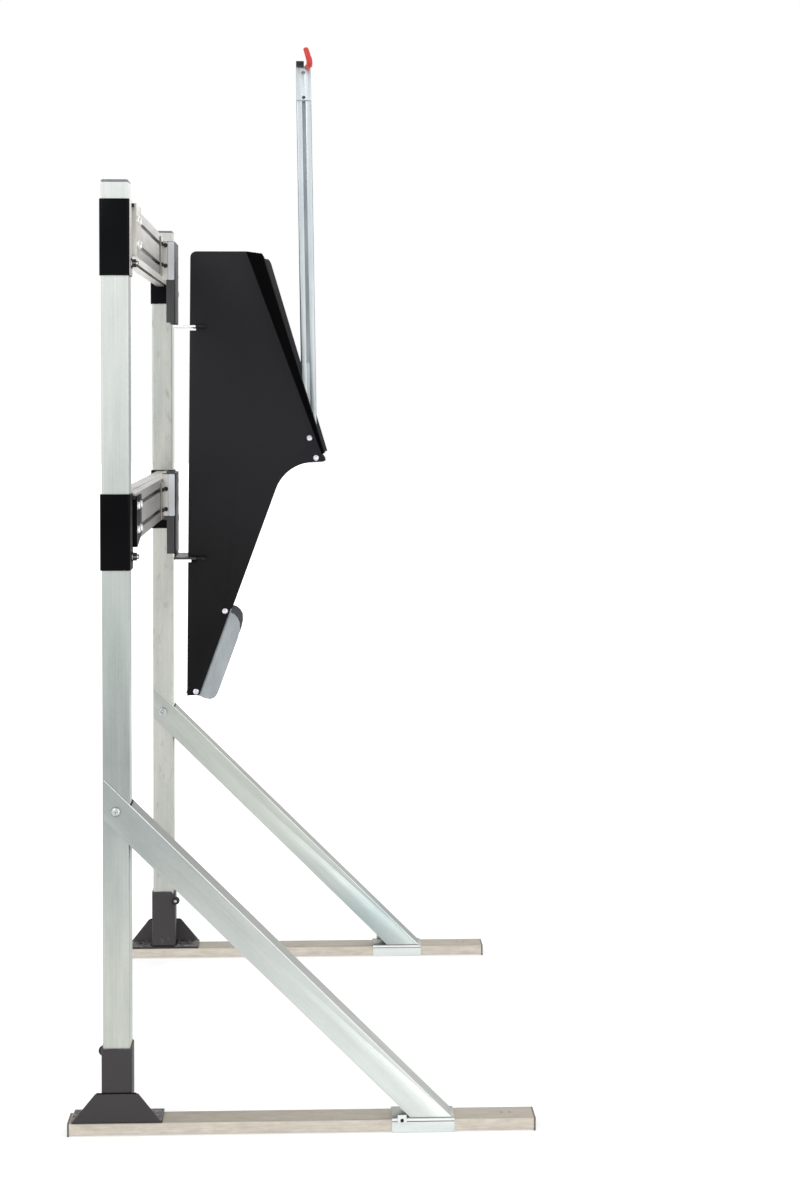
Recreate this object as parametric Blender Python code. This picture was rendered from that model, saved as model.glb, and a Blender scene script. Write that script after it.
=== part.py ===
"""Two-post floor stand with a bike lift: a slim housing on two rails and a swinging arm with a rim hook.

Lengths are metres and angles degrees. X runs from the posts toward the bike, Y from the near post to
the far post and Z up from the floor. Sizes are written in the stand's own frame, whose zero is under
the near post; the stand_frame empty moves that frame so that the whole object is centred on the origin.
"""

import math

import bmesh
import bpy

# Fits and finish
GAP = 0.0003
ROUND_STEPS = 24
SMOOTH_ANGLE = 38.0

# Stand frame
SPAN = 1.000
FLOOR_LIFT = 0.003

# Base beams: flat tubes on the floor, and their end caps
BEAM_WIDTH = 0.050
BEAM_HEIGHT = 0.020
BEAM_WALL = 0.002
BEAM_LEFT = -0.082
BEAM_LENGTH = 0.778
BEAM_RIGHT = BEAM_LEFT + BEAM_LENGTH
BEAM_CAP = 0.003
BEAM_PLUG = 0.012
BEAM_HOLES_FROM_END = (0.056, 0.041)
BEAM_HOLE_X = [BEAM_RIGHT - away for away in BEAM_HOLES_FROM_END]
BEAM_HOLE_RADIUS = 0.0025
BEAM_TOP = FLOOR_LIFT + BEAM_HEIGHT

# Posts: square tubes, and their caps
POST_SIZE = 0.045
POST_WALL = 0.002
POST_CORNER = 0.003
POST_ABOVE_RAIL = 0.0806
POST_CAP = 0.004
POST_PLUG = 0.018

# Feet: a socket tube welded on a base plate, with a gusset plate on the outer side
FOOT_WALL = 0.0025
FOOT_TOP = 0.146
FOOT_PLATE = 0.004
FOOT_PLATE_X = (-0.075, 0.075)
FOOT_PLATE_Y = (-0.026, 0.027)
FOOT_HOLE_X = 0.052
FOOT_HOLE_RADIUS = 0.0045
GUSSET_THICK = 0.0033
GUSSET_RISE = 0.045
GUSSET_TOP_X = (-0.035, 0.036)
FOOT_EAR_X = -0.026
FOOT_EAR_Z = 0.127
FOOT_EAR_RADIUS = 0.009
FOOT_CORNER_CUT = 0.011

# Braces: channels folded from sheet, lapping the posts
BRACE_THICK = 0.0025
BRACE_WIDTH = 0.048
BRACE_ANGLE = 44.65
BRACE_BOLT_Z = 0.540
BRACE_LAP = 0.020
SHOE_X = (0.4557, 0.5599)
SHOE_WALL = 0.0025
SHOE_LUG_X = (0.465, 0.480)
SHOE_LUG_Z = (0.018, 0.032)
SHOE_LUG_THICK = 0.003

# Collars: sleeves clamped on the posts, each with a folded tab that holds a rail
COLLAR_WALL = 0.0025
COLLAR_HEIGHT = 0.1260
COLLAR_DROP = {"upper": 0.0770, "lower": 0.0841}
COLLAR_BOLT_Z = 0.0214
COLLAR_NUT = 0.0075
COLLAR_NUT_LENGTH = 0.0080
COLLAR_WASHER = (0.0086, 0.0016)
COLLAR_STUD = 0.0118
TAB_REACH = 0.110
TAB_THICK = 0.003
TAB_ABOVE_RAIL = {"upper": 0.0460, "lower": 0.0360}
TAB_BELOW_RAIL = {"upper": 0.0425, "lower": 0.0490}
TAB_CUT = (0.078, 0.0165)

# Rails: slotted aluminium profile
RAIL_WIDTH = 0.040
RAIL_HEIGHT = 0.080
RAIL_FACE_X = 0.0285
RAIL_Z = {"upper": 1.5007, "lower": 1.0221}
SLOT_PITCH = 0.040
SLOT_MOUTH = 0.008
SLOT_CAVITY = 0.016
SLOT_LIP = 0.004
SLOT_DEPTH = 0.012
RAIL_CORE_RADIUS = 0.0034
RAIL_VOID = (0.026, 0.014)

# Hangers: channels bolted on the rails, with a tongue that carries the housing
LIFT_Y = 0.650
HANGER_THICK = 0.003
HANGER_HALF = 0.053
HANGER_REACH = 0.0542
HANGER_FLANGE = 0.100
HANGER_DROP = {"upper": 0.1317, "lower": 0.1081}
HANGER_RISE = {"upper": 0.0278, "lower": 0.0509}
HANGER_FLANGE_Z = (-0.038, 0.034)
HANGER_BACK_X = 0.0376
TONGUE_BELOW = {"upper": 0.0090, "lower": 0.0110}
TONGUE_THICK = 0.004
TONGUE_REACH = 0.095
TONGUE_HALF = 0.060
CLAMP_DROP = {"upper": 0.0477, "lower": 0.0331}
CLAMP_RISE = {"upper": 0.0268, "lower": 0.0489}
CLAMP_X = (0.041, 0.0535)
CLAMP_THICK = 0.0025
LOCK_Y = LIFT_Y - 0.0550

# Housing: two side plates with a flared front edge
PLATE_THICK = 0.0025
PLATE_OUTER_HALF = 0.0505
PLATE_ABOVE_RAIL = 0.0088
PLATE_TOP_Z = RAIL_Z["upper"] + PLATE_ABOVE_RAIL
PLATE_CORNER = 0.012
PLATE_BACK_TOP = (0.0845, PLATE_TOP_Z - PLATE_CORNER)
PLATE_BACK_BOTTOM = (0.0766, 0.633)
PLATE_TOE = (0.1003, 0.6343)
PLATE_STEP = 0.0028
PLATE_STEP_Z = 0.8050
PLATE_EDGE_ANGLE = 20.128
PLATE_FILLET = 0.080
PLATE_CHIN_Z = 1.0942
PLATE_NOSE = (0.3510, PLATE_CHIN_Z + 0.0056)
PLATE_NOSE_ROUND = ((0.0060, 0.0008), (0.0015, 0.0028))
BEND_TOP = (0.194, PLATE_TOP_Z)
BEND_FOOT = (0.343, PLATE_CHIN_Z + 0.0148)
FLARE_TOP = (0.2245, PLATE_TOP_Z - 0.0065)
FLARE_CORNER = (0.2290, PLATE_TOP_Z - 0.0140)
FLARE_FOOT = (0.3480, PLATE_CHIN_Z + 0.0188)
FLARE_ANGLE = 50.194
FAR_FLARE_EXTRA = (0.0095, 0.0095, 0.0050)
NOTCH_FRONT_X = TONGUE_REACH + 0.0005
NOTCH_DROP = 0.006

# Spine between the side plates
SPINE_X = 0.0865
SPINE_CLEAR = 0.0175
SPINE_THICK = 0.0025
SPINE_LIP = 0.024

# Guide cheeks on the lower front edge
CHEEK_THICK = 0.002
CHEEK_STRIP = 0.026
CHEEK_LIP_START = 0.002
CHEEK_FLARE_ANGLE = 30.964
CHEEK_ENDS = (-0.002, 0.174)
CHEEK_STRIP_TOP = 0.185
CHEEK_STRIP_SPLAY = 0.004
CHEEK_LIP = ((0.174, 0.009), (0.170, 0.018), (0.163, 0.0255), (0.150, 0.0305), (0.135, 0.0325),
             (0.018, 0.0325), (0.008, 0.0300), (0.001, 0.0230), (-0.002, 0.0130))
FAR_CHEEK_EXTRA = 0.005

# Through bolts of the housing, as X, Z and shank radius
AXLE = (0.3185, PLATE_CHIN_Z + 0.0478, 0.004)
NOSE_BOLT = (0.3314, PLATE_CHIN_Z + 0.0088, 0.003)
STRUT_BOLT = (0.1515, 0.8005, 0.003)
BOTTOM_BOLT = (0.0940, 0.6415, 0.003)
DOME_RADIUS = 0.0063
DOME_HEIGHT = 0.0045
SPACER_WALL = 0.0045

# Arm: root with a sector, lipped channel, bracket and hook
ARM_LEAN = 0.93
HUB_RADIUS = 0.016
BUSH_WALL = 0.004
BUSH_FLANGE = 0.003
BUSH_FLANGE_RADIUS = 0.012
BUSH_SLEEVE = 0.014
SECTOR_RADIUS = 0.050
SECTOR_HALF = 0.007
SECTOR_LEAD = 7.0
ARM_BACK_Y = LIFT_Y + 0.0470
ARM_WIDTH = 0.030
ARM_DEPTH = 0.020
ARM_WALL = 0.002
ARM_MOUTH = 0.004
ARM_START = 0.022
ARM_END = 0.7442
ROOT_TONGUE_END = 0.150
BRACKET_THICK = 0.003
BRACKET_START = 0.676
BRACKET_HOLES = (0.6817, 0.7319)
BRACKET_HOLE_RADIUS = 0.0033
BRACKET_SEAT = 0.020
BRACKET_SEAT_THICK = 0.006
HOOK_RADIUS = 0.006
HOOK_BEND = 0.010
HOOK_START = (0.0085, 0.735)
HOOK_BACK_Y = 0.0145
HOOK_TIP = (0.0064, 0.769)

# Pull strut between the strut bolt and the sector
STRUT_HALF = 0.006
STRUT_EYE_RADIUS = 0.0085
BARREL_RADIUS = 0.011
BARREL_BORE = 0.009
BARREL_START = 0.005
BARREL_FLOOR = 0.016
BARREL_NOSE = 0.006
ROD_RADIUS = 0.004
PISTON_Z = (0.020, 0.030)
ROD_SHOW = 0.012
YOKE_LENGTH = 0.032
YOKE_SIZE = (0.012, 0.016)
YOKE_BORE = 0.012
YOKE_WEB = 0.004
BAND_THICK = 0.0015
BAND_FREE = 0.1219

# Sizes that follow from the ones above
POST_BOTTOM = BEAM_TOP + GAP + FOOT_PLATE + GAP
FOOT_INNER = POST_SIZE + 2 * GAP
FOOT_OUTER = FOOT_INNER + 2 * FOOT_WALL
FOOT_FACE = FOOT_OUTER / 2
COLLAR_FACE = POST_SIZE / 2 + GAP + COLLAR_WALL
BRACE_INNER = POST_SIZE / 2 + GAP
BRACE_OUTER = BRACE_INNER + BRACE_THICK
SHOE_INNER_Y = BEAM_WIDTH / 2 + GAP
SHOE_INNER_Z = BEAM_HEIGHT / 2 + GAP
SHOE_TOP = FLOOR_LIFT + BEAM_HEIGHT / 2 + SHOE_INNER_Z + SHOE_WALL
POST_TOP = RAIL_Z["upper"] + POST_ABOVE_RAIL
COLLAR_BOTTOM = {level: RAIL_Z[level] - COLLAR_DROP[level] for level in RAIL_Z}
HANGER_BOTTOM = {level: RAIL_Z[level] - HANGER_DROP[level] for level in RAIL_Z}
HANGER_TOP = {level: RAIL_Z[level] + HANGER_RISE[level] for level in RAIL_Z}
TONGUE_Z = {level: HANGER_BOTTOM[level] - TONGUE_BELOW[level] for level in RAIL_Z}
SPINE_Z = (TONGUE_Z["lower"] + SPINE_CLEAR, TONGUE_Z["upper"] - SPINE_CLEAR)
RAIL_X = RAIL_FACE_X - RAIL_WIDTH / 2
PLATE_EDGE_LEAN = math.tan(math.radians(PLATE_EDGE_ANGLE))
CHEEK_FLARE = math.tan(math.radians(CHEEK_FLARE_ANGLE))
FLARE_SLOPE = math.tan(math.radians(FLARE_ANGLE))
RAIL_END = COLLAR_FACE + GAP
PLATE_INNER_HALF = PLATE_OUTER_HALF - PLATE_THICK
BAND_LINE = SECTOR_RADIUS + GAP + BAND_THICK / 2
STRUT_SPAN = math.hypot(AXLE[0] - STRUT_BOLT[0], AXLE[1] - STRUT_BOLT[1])
STRUT_RISE = math.atan2(AXLE[1] - STRUT_BOLT[1], AXLE[0] - STRUT_BOLT[0])
STRUT_TILT = math.pi / 2 - STRUT_RISE - math.asin(BAND_LINE / STRUT_SPAN)
BAND_END = math.sqrt(STRUT_SPAN ** 2 - BAND_LINE ** 2)
YOKE_Z = (BAND_END - BAND_FREE - YOKE_LENGTH, BAND_END - BAND_FREE)
YOKE_BORE_END = YOKE_Z[0] + YOKE_BORE
YOKE_SLOT_START = YOKE_BORE_END + YOKE_WEB
BARREL_Z = (BARREL_START, YOKE_Z[0] - ROD_SHOW)
TANGENT_ANGLE = 180.0 - math.degrees(STRUT_TILT)

# Finishes: colour, roughness and metallic
FINISHES = {
    "galvanised": ((0.50, 0.53, 0.52), 0.45, 1.0),
    "zinc": ((0.72, 0.76, 0.77), 0.32, 1.0),
    "mill_aluminium": ((0.60, 0.58, 0.55), 0.42, 1.0),
    "beam_steel": ((0.50, 0.46, 0.40), 0.50, 1.0),
    "black_paint": ((0.018, 0.018, 0.020), 0.42, 0.0),
    "foot_paint": ((0.060, 0.055, 0.058), 0.50, 0.0),
    "hanger_paint": ((0.075, 0.073, 0.078), 0.48, 0.0),
    "cheek_light": ((0.36, 0.39, 0.41), 0.40, 0.9),
    "cap_plastic": ((0.13, 0.12, 0.11), 0.55, 0.0),
    "bush_plastic": ((0.70, 0.70, 0.66), 0.50, 0.0),
    "bright_steel": ((0.74, 0.73, 0.77), 0.22, 1.0),
    "black_steel": ((0.03, 0.03, 0.03), 0.35, 0.6),
    "red_coating": ((0.72, 0.045, 0.030), 0.35, 0.0),
}


# Flat outlines

def rounded_box(width, height, radius, centre=(0.0, 0.0), steps=4):
    """Returns a rectangle with rounded corners, counterclockwise."""
    points = []
    for turn, (side, level) in enumerate(((1, 1), (-1, 1), (-1, -1), (1, -1))):
        corner_x = centre[0] + side * (width / 2 - radius)
        corner_y = centre[1] + level * (height / 2 - radius)
        for step in range(steps):
            angle = math.radians(90 * turn + 90 * step / (steps - 1))
            points.append((corner_x + radius * math.cos(angle), corner_y + radius * math.sin(angle)))
    return points


def box_outline(low, high):
    """Returns a plain rectangle between two corners."""
    return [low, (high[0], low[1]), high, (low[0], high[1])]


def disc(radius, centre=(0.0, 0.0), steps=ROUND_STEPS):
    """Returns a circle of points."""
    points = []
    for step in range(steps):
        angle = 2 * math.pi * step / steps
        points.append((centre[0] + radius * math.cos(angle), centre[1] + radius * math.sin(angle)))
    return points


def hexagon(radius, centre=(0.0, 0.0), steps=ROUND_STEPS):
    """Returns a hexagon with the given corner radius, drawn with as many points as a disc."""
    points = []
    for step in range(steps):
        angle = 2 * math.pi * step / steps
        off_middle = (angle % (math.pi / 3)) - math.pi / 6
        reach = radius * math.cos(math.pi / 6) / math.cos(off_middle)
        points.append((centre[0] + reach * math.cos(angle), centre[1] + reach * math.sin(angle)))
    return points


def arc(centre, radius, start, end, steps):
    """Returns points on a circle from one angle to another, in degrees."""
    points = []
    for step in range(steps + 1):
        angle = math.radians(start + (end - start) * step / steps)
        points.append((centre[0] + radius * math.cos(angle), centre[1] + radius * math.sin(angle)))
    return points


def stand_up(outline, axis, depth):
    """Sets a flat outline at a depth along an axis."""
    if axis == "X":
        return [(depth, first, second) for first, second in outline]
    if axis == "Y":
        return [(first, depth, second) for first, second in outline]
    return [(first, second, depth) for first, second in outline]


# Solids

def loft(rings, closed=False):
    """Skins rings of equally many points: a closed loft is a hollow ring, an open one has end faces."""
    mesh = bmesh.new()
    loops = [[mesh.verts.new(point) for point in ring] for ring in rings]
    pairs = list(zip(loops, loops[1:]))
    if closed:
        pairs.append((loops[-1], loops[0]))
    for first, second in pairs:
        for index in range(len(first)):
            after = (index + 1) % len(first)
            mesh.faces.new((first[index], first[after], second[after], second[index]))
    if not closed:
        mesh.faces.new(loops[0])
        mesh.faces.new(loops[-1])
    bmesh.ops.recalc_face_normals(mesh, faces=mesh.faces[:])
    return mesh


def prism(outline, axis, low, high):
    """Extrudes a flat outline along an axis."""
    return loft([stand_up(outline, axis, low), stand_up(outline, axis, high)])


def pipe(outer, inner, axis, low, high):
    """Extrudes the space between two outlines along an axis."""
    rings = [stand_up(outer, axis, low), stand_up(outer, axis, high)]
    rings += [stand_up(inner, axis, high), stand_up(inner, axis, low)]
    return loft(rings, closed=True)


def turned(profile, axis, centre, shape=disc):
    """Stacks round or hexagonal sections, given as pairs of depth and radius."""
    return loft([stand_up(shape(radius, centre), axis, depth) for depth, radius in profile])


def thicken(faces, thickness, inward):
    """Turns flat faces that share corners into one sheet; inward is the side that the metal lies on."""
    mesh = bmesh.new()
    corners = {}
    for face in faces:
        loop = []
        for point in face:
            key = tuple(round(value, 7) for value in point)
            if key not in corners:
                corners[key] = mesh.verts.new(point)
            loop.append(corners[key])
        mesh.faces.new(loop)
    bmesh.ops.recalc_face_normals(mesh, faces=mesh.faces[:])
    mesh.normal_update()
    if mesh.faces[:][0].normal.y * inward > 0:
        bmesh.ops.reverse_faces(mesh, faces=mesh.faces[:])
    mesh.normal_update()
    front = list(mesh.faces)
    rim = [edge for edge in mesh.edges if len(edge.link_faces) == 1]
    back = {}
    for corner in list(mesh.verts):
        normals = [face.normal for face in corner.link_faces]
        middle = sum(normals[1:], normals[0].copy()).normalized()
        reach = thickness / middle.dot(normals[0])
        back[corner] = mesh.verts.new(corner.co - middle * reach)
    for face in front:
        mesh.faces.new([back[corner] for corner in reversed(face.verts)])
    for edge in rim:
        first, second = edge.verts
        mesh.faces.new((first, second, back[second], back[first]))
    bmesh.ops.recalc_face_normals(mesh, faces=mesh.faces[:])
    return mesh


def bent_rod(path, radius):
    """Sweeps a round rod along a path that stays close to the YZ plane, with rounded ends."""
    stations = []
    for index, point in enumerate(path):
        before = path[max(index - 1, 0)]
        after = path[min(index + 1, len(path) - 1)]
        along = [after[axis] - before[axis] for axis in range(3)]
        length = math.hypot(*along)
        stations.append((point, [value / length for value in along], radius))
    first, last = stations[0], stations[-1]
    for lift, share in ((0.5, 0.87), (0.87, 0.5), (0.97, 0.22)):
        for station, sign, place in ((first, -1, 0), (last, 1, len(stations))):
            point, along, _ = station
            moved = tuple(point[axis] + sign * lift * radius * along[axis] for axis in range(3))
            stations.insert(place, (moved, along, radius * share))
    rings = []
    for point, along, size in stations:
        across = (0.0, -along[2], along[1])
        width = math.hypot(*across)
        across = [value / width for value in across]
        aside = (along[1] * across[2] - along[2] * across[1],
                 along[2] * across[0] - along[0] * across[2],
                 along[0] * across[1] - along[1] * across[0])
        ring = []
        for first_share, second_share in disc(size, steps=16):
            ring.append(tuple(point[axis] + first_share * across[axis] + second_share * aside[axis]
                              for axis in range(3)))
        rings.append(ring)
    return loft(rings)


# Scene objects

def add_object(name, mesh, parent):
    """Turns a mesh draft into an object under a parent."""
    data = bpy.data.meshes.new(name)
    mesh.to_mesh(data)
    mesh.free()
    item = bpy.data.objects.new(name, data)
    bpy.context.scene.collection.objects.link(item)
    item.parent = parent
    return item


def add_part(name, mesh, finish, parent):
    """Adds one sub-part with a material of its own."""
    colour, roughness, metallic = FINISHES[finish]
    item = add_object(name, mesh, parent)
    material = bpy.data.materials.new(name + "_finish")
    material.use_nodes = True
    shader = material.node_tree.nodes["Principled BSDF"]
    shader.inputs["Base Color"].default_value = (*colour, 1.0)
    shader.inputs["Roughness"].default_value = roughness
    shader.inputs["Metallic"].default_value = metallic
    material.diffuse_color = (*colour, 1.0)
    item.data.materials.append(material)
    for face in item.data.polygons:
        face.use_smooth = True
    item.data.set_sharp_from_angle(angle=math.radians(SMOOTH_ANGLE))
    return item


def add_guide(name, mesh, parent):
    """Adds a hidden solid that shapes other parts."""
    guide = add_object(name, mesh, parent)
    guide.hide_render = True
    guide.display_type = "WIRE"
    return guide


def shape_with(part, guide, operation):
    """Joins or cuts a part with a guide solid."""
    modifier = part.modifiers.new(guide.name, "BOOLEAN")
    modifier.operation = operation
    modifier.solver = "EXACT"
    modifier.object = guide


def join(part, name, mesh):
    """Welds a further solid to a part."""
    shape_with(part, add_guide(name, mesh, part.parent), "UNION")


def cut(part, name, mesh):
    """Cuts a solid out of a part."""
    shape_with(part, add_guide(name, mesh, part.parent), "DIFFERENCE")


def add_empty(name, place, turn, parent):
    """Adds an empty that carries a sub-assembly; turn is its angle about Y."""
    empty = bpy.data.objects.new(name, None)
    empty.location = place
    empty.rotation_euler = (0.0, turn, 0.0)
    bpy.context.scene.collection.objects.link(empty)
    empty.parent = parent
    return empty


# Stand: beams, posts, feet, braces

def build_beam(side, y, root):
    """Adds one base beam and the caps in its ends."""
    middle = (y, FLOOR_LIFT + BEAM_HEIGHT / 2)
    inner_width = BEAM_WIDTH - 2 * BEAM_WALL
    inner_height = BEAM_HEIGHT - 2 * BEAM_WALL
    outer = rounded_box(BEAM_WIDTH, BEAM_HEIGHT, 0.002, middle)
    inner = rounded_box(inner_width, inner_height, 0.0008, middle)
    ends = (BEAM_LEFT + BEAM_CAP + GAP, BEAM_RIGHT - BEAM_CAP - GAP)
    beam = add_part(side + "_base_beam", pipe(outer, inner, "X", *ends), "beam_steel", root)
    for index, hole_x in enumerate(BEAM_HOLE_X):
        hole = turned([(BEAM_TOP - BEAM_HEIGHT / 2, BEAM_HOLE_RADIUS), (BEAM_TOP + 0.002, BEAM_HOLE_RADIUS)],
                      "Z", (hole_x, y))
        cut(beam, f"{side}_beam_hole_{index}", hole)
    plug = rounded_box(inner_width - 2 * GAP, inner_height - 2 * GAP, 0.0006, middle)
    plate = rounded_box(BEAM_WIDTH, BEAM_TOP, 0.002, (y, BEAM_TOP / 2))
    plate_edge = rounded_box(BEAM_WIDTH - 0.001, BEAM_TOP - 0.001, 0.0015, (y, BEAM_TOP / 2))
    for end, outside, inward in (("back", BEAM_LEFT, 1), ("front", BEAM_RIGHT, -1)):
        rings = [stand_up(plate_edge, "X", outside),
                 stand_up(plate, "X", outside + inward * 0.0005),
                 stand_up(plate, "X", outside + inward * BEAM_CAP),
                 stand_up(plug, "X", outside + inward * BEAM_CAP),
                 stand_up(plug, "X", outside + inward * (BEAM_CAP + BEAM_PLUG))]
        add_part(f"{side}_beam_cap_{end}", loft(rings), "cap_plastic", root)


def build_post(side, y, root):
    """Adds one post and its cap."""
    inner_size = POST_SIZE - 2 * POST_WALL
    outer = rounded_box(POST_SIZE, POST_SIZE, POST_CORNER, (0.0, y))
    inner = rounded_box(inner_size, inner_size, POST_CORNER - POST_WALL, (0.0, y))
    tube_top = POST_TOP - POST_CAP
    post = add_part(side + "_post", pipe(outer, inner, "Z", POST_BOTTOM, tube_top - GAP), "galvanised", root)
    plug = rounded_box(inner_size - 2 * GAP, inner_size - 2 * GAP, POST_CORNER - POST_WALL, (0.0, y))
    crown = rounded_box(POST_SIZE - 0.003, POST_SIZE - 0.003, POST_CORNER, (0.0, y))
    rings = [stand_up(plug, "Z", tube_top - POST_PLUG),
             stand_up(plug, "Z", tube_top),
             stand_up(outer, "Z", tube_top),
             stand_up(outer, "Z", POST_TOP - 0.0015),
             stand_up(crown, "Z", POST_TOP)]
    add_part(side + "_post_cap", loft(rings), "cap_plastic", root)
    return post


def build_foot(side, y, turn, root):
    """Adds one welded foot and its cap screw; turn is 1 for the near foot and -1 for the far one."""
    def along(value):
        return value * turn

    def across(value):
        return y + value * turn

    plate_low = BEAM_TOP + GAP
    plate_high = plate_low + FOOT_PLATE
    plate = box_outline((along(FOOT_PLATE_X[0]), across(FOOT_PLATE_Y[0])),
                        (along(FOOT_PLATE_X[1]), across(FOOT_PLATE_Y[1])))
    foot = add_part(side + "_foot", prism(plate, "Z", plate_low, plate_high), "foot_paint", root)
    socket = pipe(rounded_box(FOOT_OUTER, FOOT_OUTER, POST_CORNER + GAP + FOOT_WALL, (0.0, y)),
                  rounded_box(FOOT_INNER, FOOT_INNER, POST_CORNER + GAP, (0.0, y)),
                  "Z", plate_low + FOOT_PLATE / 2, FOOT_TOP)
    join(foot, side + "_foot_socket", socket)
    gusset_low = plate_low + 0.001
    gusset = [(along(FOOT_PLATE_X[0]), gusset_low), (along(FOOT_PLATE_X[1] - 0.001), gusset_low),
              (along(GUSSET_TOP_X[1]), plate_high + GUSSET_RISE),
              (along(GUSSET_TOP_X[0]), plate_high + GUSSET_RISE)]
    gusset_skin = prism(gusset, "Y", across(-FOOT_FACE + 0.0004), across(-FOOT_FACE + 0.0004 - GUSSET_THICK))
    join(foot, side + "_foot_gusset", gusset_skin)
    ear_centre = (along(FOOT_EAR_X), FOOT_EAR_Z)
    ear = prism(disc(FOOT_EAR_RADIUS, ear_centre), "Y", across(FOOT_FACE - FOOT_WALL + 0.0004),
                across(FOOT_FACE + 0.0006))
    join(foot, side + "_foot_ear", ear)
    edge = FOOT_FACE + 0.001
    corner = [(along(-edge), FOOT_TOP + 0.001), (along(-edge + FOOT_CORNER_CUT), FOOT_TOP + 0.001),
              (along(-edge), FOOT_TOP + 0.001 - FOOT_CORNER_CUT)]
    cut(foot, side + "_foot_corner", prism(corner, "Y", across(FOOT_FACE - FOOT_WALL - 0.0008), across(edge)))
    screw_radius = 0.003
    ear_hole = prism(disc(screw_radius + GAP, ear_centre), "Y", across(FOOT_FACE - FOOT_WALL + 0.0001),
                     across(FOOT_FACE + 0.002))
    cut(foot, side + "_foot_ear_hole", ear_hole)
    for end, hole_x in (("back", -FOOT_HOLE_X), ("front", FOOT_HOLE_X)):
        hole = prism(disc(FOOT_HOLE_RADIUS, (hole_x, y)), "Z", plate_low - 0.0002, plate_high + 0.001)
        cut(foot, f"{side}_foot_hole_{end}", hole)
    head = FOOT_FACE + 0.0006 + GAP
    profile = [(FOOT_FACE - FOOT_WALL + GAP, screw_radius), (head, screw_radius), (head, 0.0072),
               (head + 0.0062, 0.0072), (head + 0.007, 0.0064), (head + 0.007, 0.0034),
               (head + 0.004, 0.0034)]
    screw = turned([(across(depth), radius) for depth, radius in profile], "Y", ear_centre)
    add_part(side + "_foot_screw", screw, "black_steel", root)


def build_brace(side, y, inward, post, root):
    """Adds one brace with its bolt and the shoe that holds it on the beam."""
    along_x = math.cos(math.radians(BRACE_ANGLE))
    down_z = math.sin(math.radians(BRACE_ANGLE))

    def edge_at_x(offset, x):
        start_x = down_z * offset
        start_z = BRACE_BOLT_Z + along_x * offset
        return (x, start_z - (x - start_x) * down_z / along_x)

    def edge_at_z(offset, z):
        start_x = down_z * offset
        start_z = BRACE_BOLT_Z + along_x * offset
        return (start_x + (start_z - z) * along_x / down_z, z)

    half = BRACE_WIDTH / 2
    foot_z = SHOE_TOP + GAP
    outline = [edge_at_x(half, -BRACE_LAP), edge_at_z(half, foot_z),
               edge_at_z(-half, foot_z), edge_at_x(-half, -BRACE_LAP)]
    brace = add_part(side + "_brace", prism(outline, "Y", y - BRACE_OUTER, y + BRACE_OUTER), "galvanised",
                     root)
    web = half - BRACE_THICK
    web_start = BRACE_OUTER
    above = BRACE_BOLT_Z + 2 * BRACE_WIDTH
    hollow = [(-BRACE_LAP - 0.005, above), (web_start, above),
              edge_at_x(web, web_start), edge_at_z(web, foot_z - 0.005),
              edge_at_z(-half - 0.005, foot_z - 0.005), edge_at_x(-half - 0.005, -BRACE_LAP - 0.005)]
    cut(brace, side + "_brace_hollow", prism(hollow, "Y", y - BRACE_INNER, y + BRACE_INNER))
    bolt_radius = 0.005
    bolt_centre = (0.0, BRACE_BOLT_Z)
    bolt_hole = add_guide(side + "_brace_bolt_hole",
                          prism(disc(bolt_radius + GAP, bolt_centre), "Y", y - 0.03, y + 0.03), root)
    shape_with(brace, bolt_hole, "DIFFERENCE")
    shape_with(post, bolt_hole, "DIFFERENCE")
    near_face = -BRACE_OUTER - GAP
    profile = [(near_face - 0.0055, 0.0022), (near_face - 0.0048, 0.0052), (near_face - 0.0026, 0.0074),
               (near_face - 0.001, 0.008), (near_face, 0.008), (near_face, bolt_radius),
               (-near_face, bolt_radius), (-near_face, 0.0085), (-near_face + 0.0015, 0.0085),
               (-near_face + 0.0075, 0.0078)]
    bolt = turned([(y + inward * depth, radius) for depth, radius in profile], "Y", bolt_centre)
    add_part(side + "_brace_bolt", bolt, "zinc", root)
    middle = (y, FLOOR_LIFT + BEAM_HEIGHT / 2)
    inner = rounded_box(2 * SHOE_INNER_Y, 2 * SHOE_INNER_Z, 0.002, middle)
    outer = rounded_box(2 * (SHOE_INNER_Y + SHOE_WALL), 2 * (SHOE_INNER_Z + SHOE_WALL), 0.0035, middle)
    shoe = add_part(side + "_brace_shoe", pipe(outer, inner, "X", *SHOE_X), "zinc", root)
    face = SHOE_INNER_Y + SHOE_WALL
    lug = prism(rounded_box(SHOE_LUG_X[1] - SHOE_LUG_X[0], SHOE_LUG_Z[1] - SHOE_LUG_Z[0], 0.001,
                            (sum(SHOE_LUG_X) / 2, sum(SHOE_LUG_Z) / 2)),
                "Y", y - inward * (face - 0.0012), y - inward * (face + SHOE_LUG_THICK))
    join(shoe, side + "_shoe_lug", lug)
    screw_radius = 0.0027
    screw_centre = (sum(SHOE_LUG_X) / 2, sum(SHOE_LUG_Z) / 2 - 0.0025)
    screw_hole = prism(disc(screw_radius + GAP, screw_centre), "Y", y - inward * (SHOE_INNER_Y - 0.001),
                       y - inward * (face + 0.005))
    cut(shoe, side + "_shoe_hole", screw_hole)
    depths = (SHOE_INNER_Y + 0.0002, face + SHOE_LUG_THICK - 0.0012)
    screw = prism(disc(screw_radius, screw_centre), "Y", *[y - inward * depth for depth in depths])
    add_part(side + "_shoe_screw", screw, "black_steel", root)


# Rails, collars and hangers

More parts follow.
